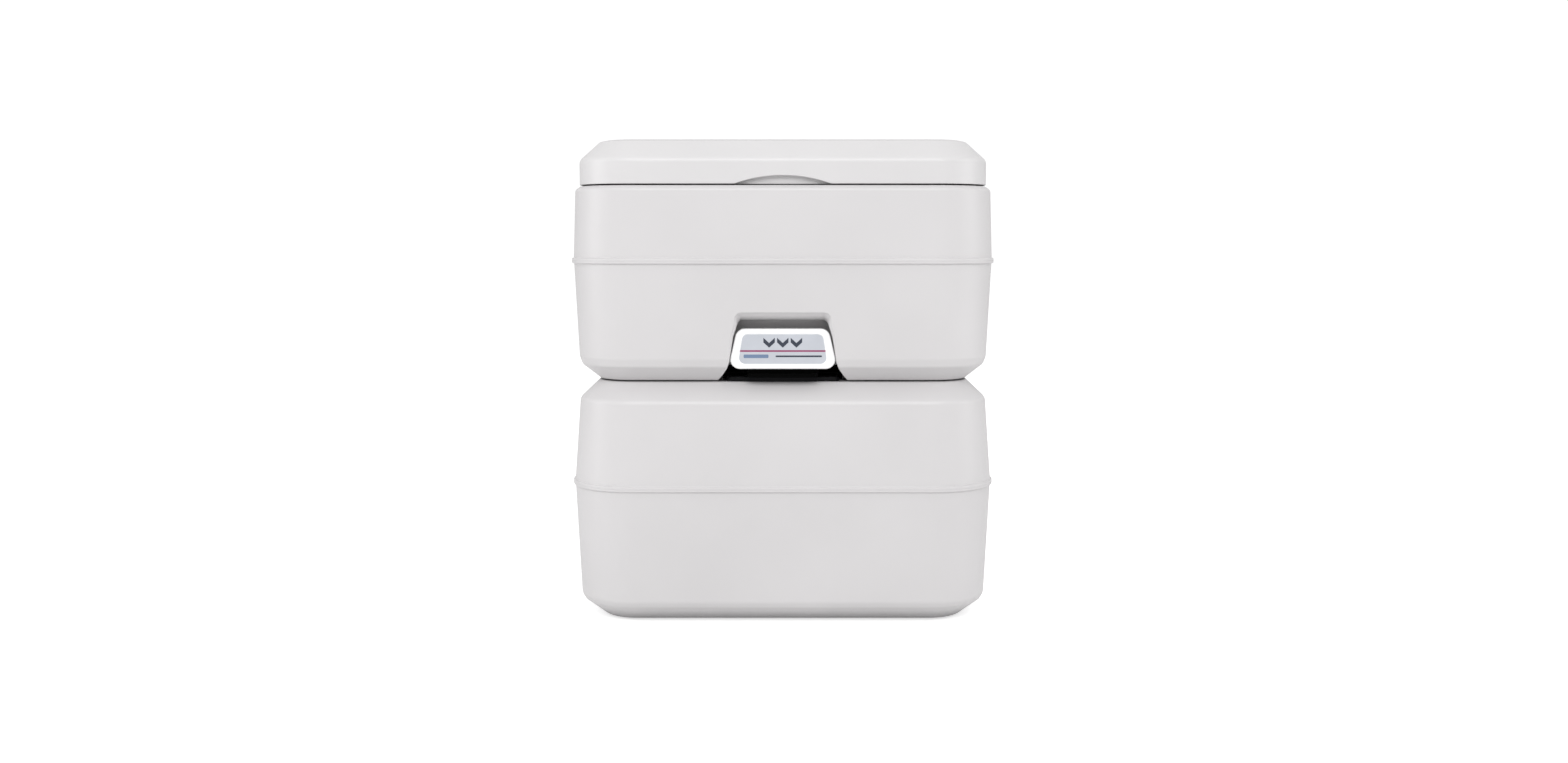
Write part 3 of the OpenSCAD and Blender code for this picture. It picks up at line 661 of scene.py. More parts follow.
def flush_upper():
    profile = [(FLUSH_FLANGE_OUT - 2, FLUSH_WELD, 0), (FLUSH_FLANGE_OUT, FLUSH_WELD, 0.25),
               (FLUSH_FLANGE_OUT, FLUSH_WELD + HALF_EDGE, 0.9), (1.2, FLUSH_WELD + HALF_FLANGE, 0.8),
               (-0.8, DECK - 3, 3.5), (-5, DECK, 1.5), (-12, DECK, 0)]
    tank = box_form("flush_tank_upper_shell", soften(profile))
    cut(tank, flush_hollow())
    neck_profile = [(0, DECK - 2, 0), (34, DECK - 2, 0), (34, DECK + 10, 1), (0, DECK + 10, 0)]
    neck = lathe("neck", soften(neck_profile)[1:-1], FILLER)
    knuckles = both(hinge_barrel, 30, 44)
    foot_front, foot_back = HINGE.y - HINGE_EYE_R, HINGE.y + 6.4
    feet = both(lambda a, b: eye_block(a, b, foot_front, foot_back, DECK - 3.5, HINGE.z), 30, 44)
    fuse(tank, neck, *feet, *knuckles)
    cut(tank, hole_down(128, BOWL, DECK, 9, 0.8), hole_down(40.2, PUMP, DECK, 9, 0.5),
        hole_down(31, FILLER, DECK + 10, 20, 0.8), pin_bore(48))
    piece(tank, "flush_tank", SHELL, "flush_tank_upper")


# ---------------------------------------------------------------- lid and seat

LID_INSET = HALF_X - LID_HALF
LID_RADIUS = CORNER_R - LID_INSET
LID_MID = (LID_FRONT + LID_BACK) / 2
LID_DEEP = (LID_BACK - LID_FRONT) / 2
LID_T = 4.0
FINGER_HALF = 40.0
FINGER_H = 6.8
FINGER_DEPTH = 5.0
CROWN = (0.9, 0.7, 0.45, 0.2, 0.05)


def lid_form(name, profile, rise):
    """A rounded box in the lid's plan, with a crowned top."""
    rings = []
    for out, z in profile:
        plan = rounded(LID_HALF + out, LID_DEEP + out, LID_RADIUS + out)
        rings.append([(p.x, p.y + LID_MID, z) for p in plan])
    return skin(name, rings + dome(rings[-1], rise, CROWN))


def finger_recess():
    """A shallow arc cut into the lid's front edge."""
    radius = (FINGER_HALF ** 2 + FINGER_H ** 2) / (2 * FINGER_H)
    swing = math.asin(FINGER_HALF / radius) * 1.1

    def outline(grow):
        arc = [Vector(((radius + grow) * math.sin(swing * k / 20),
                       LID_Z + FINGER_H - radius + (radius + grow) * math.cos(swing * k / 20)))
               for k in range(-20, 21)]
        return [Vector((arc[-1].x, LID_Z - 9))] + arc[::-1] + [Vector((arc[0].x, LID_Z - 9))]

    return pocket(outline, (0, LID_FRONT, 0), X, Z, Y, FINGER_DEPTH, 0.8, 0.6, 8)


def lid():
    outer = [(-1.2, LID_Z, 0), (0, LID_Z, 1.0), (0, LID_TOP - 17, 7), (-17.5, LID_TOP - 1.2, 5),
             (-24, LID_TOP, 0)]
    inner = [(-LID_T, LID_Z - 2, 0), (-LID_T, LID_TOP - 19, 4), (-20.5, LID_TOP - LID_T, 3),
             (-28, LID_TOP - LID_T, 0)]
    shell = lid_form("lid_shell", soften(outer), 0.2)
    cavity = lid_form("cavity", soften(inner), 0.2)
    backing = slab("backing", (-46, LID_FRONT - 4, LID_Z - 6), (46, LID_FRONT + 9, LID_Z + FINGER_H + 5), 4)
    cut(cavity, backing)
    cut(shell, cavity)
    tongue_gap = slab("gap", (-61, LID_BACK - LID_T - 4, LID_Z - 8), (61, LID_BACK + 4, LID_Z + 21), 1, 1.5)
    cut(shell, tongue_gap, finger_recess())
    arms = both(lambda a, b: eye_block(a, b, LID_BACK - 2.5, HINGE.y, LID_Z + 1, LID_Z + 12), 62, 78)
    fuse(shell, *arms, *both(hinge_barrel, 62, 78))
    cut(shell, pin_bore(82))
    piece(shell, "lid", LID, "lid")


SEAT_LOW = low("seat")
SEAT_BASE = low("seat_bumpers").z + 2.0
SEAT_T = 14.0
SEAT_HALF = high("seat").x
SEAT_REAR = 96.0
SEAT_HOLE = 112.0


def seat():
    """The seat ring, dished towards its opening, with the tongue that reaches back to the hinge."""
    mid = (SEAT_LOW.y + SEAT_REAR) / 2
    deep = (SEAT_REAR - SEAT_LOW.y) / 2
    top = SEAT_BASE + SEAT_T
    profile = soften([(-8, SEAT_BASE, 0), (0, SEAT_BASE, 3), (0, top - 5, 5), (-7, top, 6), (-16, top, 0)])
    ring = skin("seat_ring", [
        [(p.x, p.y + mid, z) for p in rounded(SEAT_HALF + o, deep + o, 60 + o, 16)] for o, z in profile
    ])
    tongue = slab("tongue", (-58, SEAT_REAR - 14, SEAT_BASE), (58, HINGE.y - 8, SEAT_BASE + 10), 5, 2)
    arms = both(lambda a, b: eye_block(a, b, HINGE.y - 10, HINGE.y, SEAT_BASE, SEAT_BASE + 9.5), 45, 58)
    fuse(ring, tongue, *arms, *both(hinge_barrel, 45, 58))
    opening = [(0, top + 8, 0), (SEAT_HOLE + 16, top + 8, 0), (SEAT_HOLE + 16, top + 0.02, 0),
               (SEAT_HOLE, top - 6, 16), (SEAT_HOLE, SEAT_BASE + 1, 1.5), (SEAT_HOLE + 3, SEAT_BASE - 4, 0),
               (0, SEAT_BASE - 4, 0)]
    cut(ring, lathe("opening", soften(opening, 7)[1:-1], BOWL, count=112), pin_bore(62))
    piece(ring, "seat", SEAT, "seat")


def bumper_set(name, body, node, radius, places, z1):
    """Soft feet: short buttons, a little fuller at mid height."""
    z0 = low(node).z
    tall = z1 - z0
    profile = soften([(0, z0, 0), (radius * 0.9, z0, min(tall, 2) * 0.4), (radius, z0 + tall * 0.5, 1),
                      (radius * 0.92, z1, 0.1), (0, z1, 0)], 4)[1:-1]
    piece(join([lathe(name, profile, place, count=28) for place in places]), body, RUBBER, node)


def join(solids):
    """Puts separate solids in the first one's object."""
    obj, *others = solids
    bm = bmesh.new()
    bm.from_mesh(obj.data)
    for other in others:
        bm.from_mesh(other.data)
    bm.to_mesh(obj.data)
    bm.free()
    for other in others:
        bpy.data.objects.remove(other)
    obj.data.update()
    return obj


def bumpers():
    around = [Vector((math.cos(a), math.sin(a), 0)) * 131 + BOWL for a in
              (math.radians(45 + 90 * k) for k in range(4))]
    bumper_set("seat_bumper_set", "seat", "seat_bumpers", 4, around, SEAT_BASE)
    corners = [Vector((x, y, 0)) for x in (-120, 120) for y in (-150, 60)]
    bumper_set("lid_bumper_set", "lid", "lid_bumpers", 5, corners, high("lid_bumpers").z)


# ---------------------------------------------------------------- bowl, valve and pull handle

RIM_R = high("bowl").x
BOWL_R = 124.0
RIM_TOP = high("bowl").z
NECK_R = 44.0


def bowl():
    """The bowl: a flanged rim, a deep cone and a short neck down to the valve."""
    rim, low_z = RIM_TOP, low("bowl").z
    inner = [(BOWL_R, rim, 3), (BOWL_R - 6, DECK - 21, 30), (BOWL_R - 24, DECK - 76, 40),
             (NECK_R + 16, WASTE_TOP + 40, 24), (NECK_R, WASTE_TOP + 24, 6), (NECK_R, low_z, 0.6)]
    outer = [(NECK_R + 3, low_z, 0.6), (NECK_R + 3, WASTE_TOP + 23, 6), (NECK_R + 20, WASTE_TOP + 38, 20),
             (BOWL_R - 21, DECK - 77, 40), (BOWL_R - 3, DECK - 21, 30), (BOWL_R + 3.5, DECK, 0.5),
             (RIM_R, DECK, 0.6), (RIM_R, rim, 1.4)]
    start = (BOWL_R + 4, rim, 0)
    turned("bowl_shell", [start] + inner + outer + [start], BOWL, "flush_tank", BOWL_WHITE, "bowl",
           count=112, angle=50)


PULL_LOW, PULL_HIGH = low("pull_handle"), high("pull_handle")
PULL_FOOT = low("pull_handle").z
PULL_HALF = PULL_HIGH.x
PULL_TAPER = 4.2
PULL_CORNER = 8.2


def trapezoid(grow, inset=0.0, corner=PULL_CORNER, taper=PULL_TAPER, side=0.0):
    """The pull handle's outline: wider at its foot, with rounded corners."""
    z0, z1 = PULL_FOOT + inset, PULL_HIGH.z - inset
    foot = PULL_HALF - inset - side - corner
    lean = math.atan(taper / (z1 - z0 - 2 * corner))
    points = []
    arcs = ((foot, z0 + corner, -math.pi / 2, lean), (foot - taper, z1 - corner, lean, math.pi / 2))
    for x, z, start, end in arcs:
        for k in range(9):
            a = start + (end - start) * k / 8
            points.append((x + (corner + grow) * math.cos(a), z + (corner + grow) * math.sin(a)))
    return mirror_outline(points)


def label_bed(grow):
    return trapezoid(grow, 4.5, 5.0, 2.4, 3.2)


def pull_handle():
    """The grip plate: a soft cushion edge round a shallow label bed, hollow behind."""
    face, back = PULL_LOW.y, PULL_HIGH.y
    rings = [(label_bed(0.1), 0.6), (label_bed(0.5), 0.5), (label_bed(0.9), 0.0)]
    for t in lip_angles(6, 0):
        rings.append((trapezoid(-2.6 * (1 - math.sin(t))), 2.6 * (1 - math.cos(t))))
    rings += [(trapezoid(0), back - face - 0.8), (trapezoid(-0.8), back - face)]
    rings += [(trapezoid(-4.6), back - face), (trapezoid(-5), back - face - 0.6), (trapezoid(-5.4), 5.0)]
    plate = stack("pull_handle_grip", rings, (0, face, 0), X, Z, Y)
    piece(plate, "valve", GLOSS, "pull_handle", angle=50)


def flat_mark(name, outline, finish, lift=0.28, bed=0.55):
    """A printed mark: a thin plate just proud of the label."""
    top = PULL_LOW.y + bed - lift
    mark = stack(name, [(outline, 0.3), (outline, 0.0)], (0, top, 0), X, Z, Y)
    piece(mark, "valve", finish)


def rect(x0, x1, z0, z1, radius=0.4):
    mid = Vector(((x0 + x1) / 2, (z0 + z1) / 2))
    return [p + mid for p in rounded((x1 - x0) / 2, (z1 - z0) / 2, radius, 4, 2)]


def chevron(x, z, half, drop, thick):
    """A downward chevron."""
    return [Vector(p) for p in (
        (x, z - drop), (x + half, z), (x + half, z + thick), (x, z - drop + thick), (x - half, z + thick),
        (x - half, z))]


def label():
    """The printed label: three pull chevrons over a thin rose line and two plain bars."""
    bed = label_bed(0)
    film_face = 0.35
    plate = stack("handle_label_film", [(bed, 0.62), (bed, film_face + 0.06), (label_bed(-0.1), film_face)],
                  (0, PULL_LOW.y, 0), X, Z, Y)
    piece(plate, "valve", LABEL, "handle_label")
    for i, x in enumerate((-11.5, 0, 11.5)):
        flat_mark(f"label_chevron_{i}", chevron(x, PULL_FOOT + 22.6, 4.8, 4.4, 3.9), INK)
    flat_mark("label_line", rect(-36, 36, PULL_FOOT + 14.6, PULL_FOOT + 16.1, 0.2), ROSE)
    flat_mark("label_bar_short", rect(-33, -12, PULL_FOOT + 9.4, PULL_FOOT + 12.4, 0.8), SLATE)
    flat_mark("label_bar_long", rect(-6, 33, PULL_FOOT + 10.2, PULL_FOOT + 11.6, 0.5), INK)


SLOT_LOW = low("valve_blade").z - 0.1
SLOT_HIGH = low("valve_cover").z
COVER_TOP = high("valve_cover").z
BLADE_LOW, BLADE_HIGH = low("valve_blade"), high("valve_blade")
BLADE_TOP = SLOT_HIGH - 0.1
FRAME_HALF = high("valve_cover").x
SCREW_X = FRAME_HALF - 7
SCREW_ROWS = (FRAME_FRONT + 10, BOWL.y - 11, FRAME_BACK - 10)
SCREWS = [Vector((x, y, 0)) for x in (-SCREW_X, SCREW_X) for y in SCREW_ROWS]


def valve_base():
    """The slide valve's lower frame: the blade's channel, a seal bed and the front apron."""
    corner = (FRAME_HALF, FRAME_BACK, SLOT_HIGH)
    base = slab("valve_frame", (-FRAME_HALF, FRAME_FRONT, WASTE_TOP), corner, 5, 0.6)
    apron_front = low("valve_base").y
    apron = slab("apron", (-48, apron_front, WASTE_TOP), (48, FRAME_FRONT + 2, SLOT_LOW - 1), 5, 0.9)
    fuse(base, apron)
    channel = slab("channel", (-49.2, FRAME_FRONT - 4, SLOT_LOW), (49.2, 14.5, SLOT_HIGH + 2), 0.6, 0.2)
    cut(base, channel, hole_down(VALVE_R, BOWL, SLOT_LOW, 9, 0.3), hole_down(47.5, BOWL, SLOT_LOW, 1.9, 0.1))
    piece(base, "waste_tank", DARK, "valve_base")


def valve_cover():
    """The valve's upper frame, with a shallow groove round the opening and sunk screw seats."""
    corner = (FRAME_HALF, FRAME_BACK, COVER_TOP)
    cover = slab("valve_cover_frame", (-FRAME_HALF, FRAME_FRONT, SLOT_HIGH), corner, 5, 0.8)
    over, floor_z = COVER_TOP + 4, COVER_TOP - 0.8
    profile = [(53, over, 0), (53, floor_z, 0.6), (58, floor_z, 0.6), (58, over, 0), (53, over, 0)]
    groove = lathe("groove", soften(profile, 3), BOWL, count=96)
    cut(cover, groove, hole_down(VALVE_R, BOWL, COVER_TOP, 9, 0.8))
    for place in SCREWS:
        cut(cover, hole_down(3.55, place, COVER_TOP, 2.0, 0.3), hole_down(1.55, place, COVER_TOP, 9, 0.1))
    piece(cover, "waste_tank", DARK, "valve_cover")


def valve_screws():
    """Six pan screws with cross slots."""
    foot, head = WASTE_TOP + 2, COVER_TOP - 2
    profile = soften([(0, foot, 0), (1.2, foot, 0), (1.5, foot + 1, 0.3), (1.5, head, 0.1), (3.5, head, 0.2),
                      (3.4, COVER_TOP, 1), (0, COVER_TOP, 0)])
    made = []
    for place in SCREWS:
        screw = lathe("screw", profile, place, count=32)
        for w, d in ((2.2, 0.45), (0.45, 2.2)):
            slot_low = place + Vector((-w, -d, COVER_TOP - 1.1))
            cut(screw, slab("slot", slot_low, place + Vector((w, d, COVER_TOP + 2)), 0.3, 0.05))
        made.append(screw)
    piece(join(made), "waste_tank", STEEL, "valve_screws")


def valve_blade():
    """The sliding blade, its tongue and the upright stem that carries the pull handle."""
    blade_z = BLADE_LOW.z
    blade = slab("slide_blade", (-49, -108, blade_z), (49, 14, BLADE_TOP), 9, 0.5)
    tongue = slab("tongue", (-30, BLADE_LOW.y + 4, blade_z), (30, -104, BLADE_TOP), 3, 0.5)
    stem = slab("stem", (-30, BLADE_LOW.y + 7, blade_z + 0.3), (30, BLADE_LOW.y + 12, BLADE_HIGH.z), 2, 0.4)
    fuse(blade, tongue, stem)
    # The blade's near-black, glossless finish is real black plastic plus painted shade.
    piece(blade, "valve", BLACK_SHADE, "valve_blade")


# ---------------------------------------------------------------- round parts

def gripped(count, depth, past, sharp=3):
    """A ripple for a turned solid: finger flutes where its radius is past a limit."""
    def ripple(angle, radius):
        if radius < past:
            return radius
        return radius - depth * (0.5 + 0.5 * math.cos(count * angle)) ** sharp
    return ripple


def ring_piece(name, r_in, r_out, z0, z1, place, ease=0.3, axis="Z", count=72):
    """A closed ring with eased edges."""
    start = ((r_in + r_out) / 2, z0, 0)
    profile = [start, (r_out, z0, ease), (r_out, z1, ease), (r_in, z1, ease), (r_in, z0, ease), start]
    return lathe(name, soften(profile, 3), place, axis, count)


def node_ring(node, body, r_in, r_out, place, ease=0.4, axis="Z"):
    """A seal or gasket that stands for a CAD node and keeps its height."""
    z0, z1 = (low(node).z, high(node).z) if axis == "Z" else (low(node).x - place.x, high(node).x - place.x)
    piece(ring_piece(f"{node}_ring", r_in, r_out, z0, z1, place, ease, axis), body, RUBBER, node)


def sweep(name, path, sections, inner=None):
    """A solid along a path in the XZ plane. sections are (across, along Y) radii; inner makes it a tube."""
    turns = [2 * math.pi * k / 40 for k in range(40)]
    frames = []
    for i, p in enumerate(path):
        ahead = (path[min(i + 1, len(path) - 1)] - path[max(i - 1, 0)]).normalized()
        frames.append((p, Vector((ahead.z, 0, -ahead.x))))

    def ring(i, across, along):
        p, side = frames[i]
        return [p + side * across * math.cos(t) + Y * along * math.sin(t) for t in turns]

    rings = [ring(i, *sections[i]) for i in range(len(path))]
    if inner is None:
        return skin(name, rings)
    back = [ring(i, inner, inner) for i in reversed(range(len(path)))]
    return skin(name, rings + back, loop=True)


def elbow(centre, radius, start, end, steps=12):
    """Points on an arc in the XZ plane, by angle in degrees."""
    return [centre + radius * Vector((math.cos(a), 0, math.sin(a))) for a in
            (math.radians(start + (end - start) * k / steps) for k in range(steps + 1))]


ARM_Z = middle("spout_cap").z
COLLAR_TOP = high("spout_collar").z
SPOUT_END = low("spout_cap_gasket").x


def spout_collar():
    """The spout's socket on the waste tank: a plain collar over a fluted flange."""
    z0, floor = low("spout_collar").z, NOTCH_LOW.z
    profile = [(26, z0, 0), (29, z0, 0.4), (29, floor, 0), (32, floor, 0.3), (32, floor + 3, 0.8),
               (29, floor + 3, 0.6), (29, COLLAR_TOP, 0.6), (26, COLLAR_TOP, 0.4), (26, z0, 0)]
    turned("spout_socket", profile, SPOUT, "waste_tank", GREY, "spout_collar", 3, count=144,
           ripple=gripped(24, 0.8, 30.5))
    node_ring("spout_ring_seal", "waste_tank", 26, 28.5, SPOUT)


def pour_spout():
    """The swivelling spout: a smooth bend from the socket to the arm, with a shoulder above the collar."""
    bend = 30.0
    z0 = low("pour_spout").z
    path = [SPOUT + Z * (z0 + (ARM_Z - bend - z0) * k / 3) for k in range(3)]
    path += elbow(SPOUT + Vector((bend, 0, ARM_Z - bend)), bend, 180, 90)
    arm_start, arm_end = path[-1], Vector((SPOUT_END, SPOUT.y, ARM_Z))
    path += [arm_start.lerp(arm_end, k / 4) for k in range(1, 5)]
    tube = sweep("pour_spout_tube", path, [(25.95, 25.95)] * len(path), inner=23.0)
    fuse(tube, ring_piece("shoulder", 25, 29, COLLAR_TOP + 2, COLLAR_TOP + 8, SPOUT, 1.2))
    piece(tube, "spout", GREY, "pour_spout")


def spout_cap():
    """The spout's screw cap: a fluted skirt and a sunk plain face."""
    x0, x1 = low("spout_cap").x - SPOUT.x, high("spout_cap").x - SPOUT.x
    seat_x = high("spout_cap_gasket").x - SPOUT.x
    place = Vector((SPOUT.x, SPOUT.y, ARM_Z))
    outer = [(0, seat_x, 0), (26.05, seat_x, 0.2), (26.05, x0, 0.4), (31, x0, 0.8), (31, x1, 1.4),
             (24, x1, 1), (22, x1 - 1.2, 1), (0, x1 - 1.2, 0)]
    turned("spout_screw_cap", outer, place, "spout_cap", GREY, "spout_cap", 4, "X", 192, gripped(24, 0.9, 28))
    node_ring("spout_cap_gasket", "spout_cap", 23, 26, place, 0.3, "X")


def filler_cap():
    """The water filler's cap: a fluted skirt, a rounded shoulder and a dished top with a finger bar."""
    z0, z1 = low("fill_cap").z, high("fill_cap").z
    inner_z = high("fill_cap_gasket").z
    radius = high("fill_cap").x - FILLER.x
    outer = [(0, inner_z, 0), (34.3, inner_z, 0.3), (34.3, z0, 0.3), (radius, z0, 0.8),
             (radius, z1 - 1.5, 2.4), (radius - 4, z1, 1.6), (25, z1, 1.6), (22, z1 - 3.4, 2),
             (0, z1 - 3.4, 0)]
    cap = lathe("fill_screw_cap", soften(outer, 5), FILLER, count=192, ripple=gripped(24, 1.0, 35))
    bar = slab("bar", FILLER + Vector((-23, -3.2, z1 - 4.2)), FILLER + Vector((23, 3.2, z1 - 0.4)), 2.4, 1.1)
    fuse(cap, bar)
    piece(cap, "filler_cap", GREY, "fill_cap")
    node_ring("fill_cap_gasket", "filler_cap", 31, 34, FILLER, 0.4)


# ---------------------------------------------------------------- pump and flush line

WELL_FLOOR = low("pump_well").z
KNOB_LOW, KNOB_TOP = low("pump_knob").z, high("pump_knob").z
KNOB_R = high("pump_knob").x - PUMP.x
BELLOWS_LOW = low("pump_bellows").z


def pump_well():
    profile = [(4, WELL_FLOOR, 0.3), (40, WELL_FLOOR, 1.2), (40, DECK, 0), (44, DECK, 0.3), (44, DECK + 2, 1),
               (37, DECK + 2, 0.8), (37, WELL_FLOOR + 3, 1.5), (4, WELL_FLOOR + 3, 0.3)]
    start = (20, WELL_FLOOR, 0)
    loop = [start] + profile[1:] + [profile[0], start]
    turned("pump_well_cup", loop, PUMP, "flush_tank", GREY, "pump_well", 4, count=96)


def pump_bellows():
    """The rubber bellows under the knob, with five folds."""
    folds, steps = 5, 12
    height = KNOB_LOW - BELLOWS_LOW
    profile = [(0, BELLOWS_LOW)]
    for k in range(folds * steps + 1):
        t = k / steps
        profile.append((26.3 - 3.2 * math.cos(2 * math.pi * t), BELLOWS_LOW + height * k / (folds * steps)))
    profile.append((0, KNOB_LOW))
    obj = lathe("pump_bellows_folds", profile, PUMP, count=72)
    piece(obj, "flush_tank", RUBBER, "pump_bellows", angle=60)
    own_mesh(obj)


def pump_knob():
    """The push knob: a rounded rim, a dished thumb rest and a ribbed skirt."""
    outer = [(0, KNOB_LOW, 0), (KNOB_R - 1, KNOB_LOW, 0.4), (KNOB_R, KNOB_LOW + 1, 0.4),
             (KNOB_R, KNOB_TOP, 6), (KNOB_R - 10, KNOB_TOP - 0.3, 3), (KNOB_R - 18, KNOB_TOP - 2, 3),
             (0, KNOB_TOP - 2.5, 0)]

    def ribs(angle, radius):
        if radius <= KNOB_R - 0.6:
            return radius
        return radius - 0.35 * (0.5 + 0.5 * math.cos(48 * angle))

    turned("pump_push_knob", outer, PUMP, "pump", GREY, "pump_knob", 6, count=192, ripple=ribs)


def towards_pump(obj):
    """Turns a solid built along X from the bowl's axis so that it points at the pump."""
    heading = PUMP - BOWL
    turn = Matrix.Rotation(math.atan2(heading.y, heading.x), 4, "Z")
    obj.data.transform(Matrix.Translation(BOWL * MM) @ turn)
    return obj


def flush_line():
    """Hose, spray nozzle, valve block, pickup tube and strainer."""
    hose_z = middle("flush_hose").z
    reach = (PUMP - BOWL).length
    block_r = 20.0
    start, end = BOWL_R - 6, reach - block_r
    count = 24
    profile = [(3.5, start)] + [
        (4.9 - 0.25 * (k % 2), start + (end - start) * k / count) for k in range(count + 1)
    ] + [(3.5, end), (3.5, start)]
    hose = towards_pump(lathe("flush_hose_tube", profile, (0, 0, hose_z), "X", 32))
    piece(hose, "flush_tank", RUBBER, "flush_hose")

    tip, back = BOWL_R - 18, BOWL_R - 6
    outer = [(0, tip, 0), (4.2, tip, 1.2), (5, tip + 3, 0.8), (5, back, 0.3), (3.5, back, 0.2),
             (3.5, tip + 2, 0.4), (0, tip + 2, 0)]
    nozzle = lathe("spray_nozzle", soften(outer, 3), (0, 0, hose_z), "X", 32)
    slit = slab("slit", (tip + 0.9, -11, hose_z - 1), (tip + 3.2, 11, hose_z + 1), 0.3, 0.1)
    cut(nozzle, slit)
    piece(towards_pump(nozzle), "flush_tank", GREY, "rim_nozzle")

    block_low = low("pump_valve_block").z
    outer = [(4, block_low, 0.2), (block_r - 2, block_low, 1.5), (block_r, block_low + 3, 1),
             (block_r, WELL_FLOOR, 0.8), (4, WELL_FLOOR, 0.2), (4, block_low, 0)]
    turned("pump_valve_body", outer, PUMP, "flush_tank", DARK, "pump_valve_block", 3, count=96,
           ripple=gripped(12, 0.6, block_r - 0.5, 8))

    tube_low = low("pickup_tube").z
    tube = ring_piece("pickup_tube_pipe", 4, 6, tube_low, block_low, PUMP, 0.3, count=36)
    piece(tube, "flush_tank", GLOSS, "pickup_tube")

    cup_low = low("water_strainer").z
    cup = lathe("strainer_cup", soften([
        (4, cup_low + 10, 0), (10, cup_low + 10, 0.3), (10, cup_low, 0.3), (12, cup_low, 0.4),
        (12, tube_low, 1), (4, tube_low, 0.2), (4, cup_low + 10, 0)
    ], 3), PUMP, count=60)
    for k in range(6):
        tooth = slab("tooth", (8, -1, cup_low - 2), (16, 1, cup_low + 7.5), 0.4, 0.1)
        turn = Matrix.Rotation(math.radians(60 * k), 4, "Z")
        tooth.data.transform(Matrix.Translation(PUMP * MM) @ turn)
        cut(cup, tooth)
    piece(cup, "flush_tank", DARK, "water_strainer")


def neck_seals():
    node_ring("bowl_seal", "flush_tank", NECK_R + 3, NECK_R + 10, BOWL, 0.8)
    node_ring("valve_seal", "waste_tank", NECK_R, NECK_R + 3.5, BOWL, 0.4)


# ---------------------------------------------------------------- vent

VENT_TOP = high("vent_button").z
VENT_HEAD = VENT_TOP - 4
VENT_FLANGE = high("vent_body").z


def vent():
    """The press-to-vent valve in its well: guide, sprung button and seal."""
    z0, seat_z = low("vent_body").z, WASTE_TOP - 12
    guide = [(8, z0, 0), (12, z0, 0.6), (12, seat_z, 0), (17, seat_z, 0.3), (17, VENT_FLANGE, 0.7),
             (8, VENT_FLANGE, 0.4), (8, z0, 0)]
    turned("vent_guide", guide, VENT, "waste_tank", GREY, "vent_body", 3, count=60)
    button = [(0, z0, 0), (7.95, z0, 0.3), (7.95, VENT_HEAD, 0.2), (13, VENT_HEAD, 0.4), (13, VENT_TOP, 1.6),
              (8, VENT_TOP - 0.2, 1), (5, VENT_TOP - 1.1, 1.5), (0, VENT_TOP - 1.3, 0)]
    turned("vent_push_button", button, VENT, "vent", GLOSS, "vent_button", 4, count=96,
           ripple=gripped(24, 0.4, 12.5))
    seal_low = low("vent_seal").z
    seal = [(0, seal_low, 0), (9.6, seal_low, 1), (11, seal_low + 1.6, 0.6), (11, z0, 0.5), (0, z0, 0)]
    turned("vent_seal_disc", seal, VENT, "vent", RUBBER, "vent_seal", 3, count=60)

    turns, steps, radius, wire, sides = 3, 36, 9.6, 0.6, 12
    rise = VENT_HEAD - VENT_FLANGE - 2 * wire
    rings = []
    for i in range(turns * steps + 1):
        a = 2 * math.pi * i / steps
        out = Vector((math.cos(a), math.sin(a), 0))
        centre = VENT + out * radius + Z * (VENT_FLANGE + wire + rise * i / (turns * steps))
        rings.append([centre + out * wire * math.cos(b) + Z * wire * math.sin(b) for b in
                      (2 * math.pi * k / sides for k in range(sides))])
    coil = piece(skin("vent_coil", rings), "waste_tank", STEEL, "vent_spring", angle=60)
    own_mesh(coil)


# ---------------------------------------------------------------- carry handle, latch and pins


def pin(name, radius, x0, x1, y, z):
    """A turned pin with domed ends and a groove near each end."""
    groove = 0.25
    points = [(0, x0, 0), (radius, x0, radius * 0.5)]
    for x in (x0 + radius * 0.9, x1 - radius * 0.9):
        points += [(radius, x - 0.5, 0), (radius - groove, x - 0.3, 0), (radius - groove, x + 0.3, 0),
                   (radius, x + 0.5, 0)]
    points += [(radius, x1, radius * 0.5), (0, x1, 0)]
    return lathe(name, soften(points, 4), (0, y, z), "X", 32)


def carry_handle():
    """The folding carry handle: a grip that bends up to an eye on each pin."""
    box_low, box_high = low("carry_handle"), high("carry_handle")
    pin_y, pin_z = middle("carry_handle_pins").y, middle("carry_handle_pins").z
    bar_z = box_low.z + 7
    left, right, bend = box_low.x + 6, box_high.x - 6, 13.0
    path = [Vector((left, pin_y, pin_z - 2 - k * 4)) for k in range(5)]
    path += elbow(Vector((left + bend, pin_y, bar_z + bend)), bend, 180, 270)
    path += elbow(Vector((right - bend, pin_y, bar_z + bend)), bend, 270, 360)
    path += [Vector((right, pin_y, pin_z - 2 - k * 4)) for k in range(4, -1, -1)]
    depth = pin_z - bar_z
    shares = [min(max((pin_z - p.z) / depth, 0), 1) for p in path]
    handle = sweep("carry_handle_grip", path, [(6 + s ** 3, 5 + 2 * s ** 3) for s in shares])
    eyes = [bar_x(8, x, x + 12, pin_y, pin_z, 1.2) for x in (box_low.x, box_high.x - 12)]
    fuse(handle, *eyes)
    cut(handle, bar_x(4.05, box_low.x - 3, box_high.x + 3, pin_y, pin_z, 0.01))
    piece(handle, "grip", GREY, "carry_handle", angle=50)
    low_pin, high_pin = low("carry_handle_pins").x, high("carry_handle_pins").x
    ends = [(low_pin, low_pin + 16), (high_pin - 16, high_pin)]
    pins = [pin("carry_handle_pivots", 4, a, b, pin_y, pin_z) for a, b in ends]
    piece(join(pins), "waste_tank", STEEL, "carry_handle_pins")


LATCH_OPEN = math.radians(8)
STRAP_OUT = 3.9
STRAP_T = 2.4
STRAP_DROP = 80.0
LATCH_HALF = high("latch_lever").x


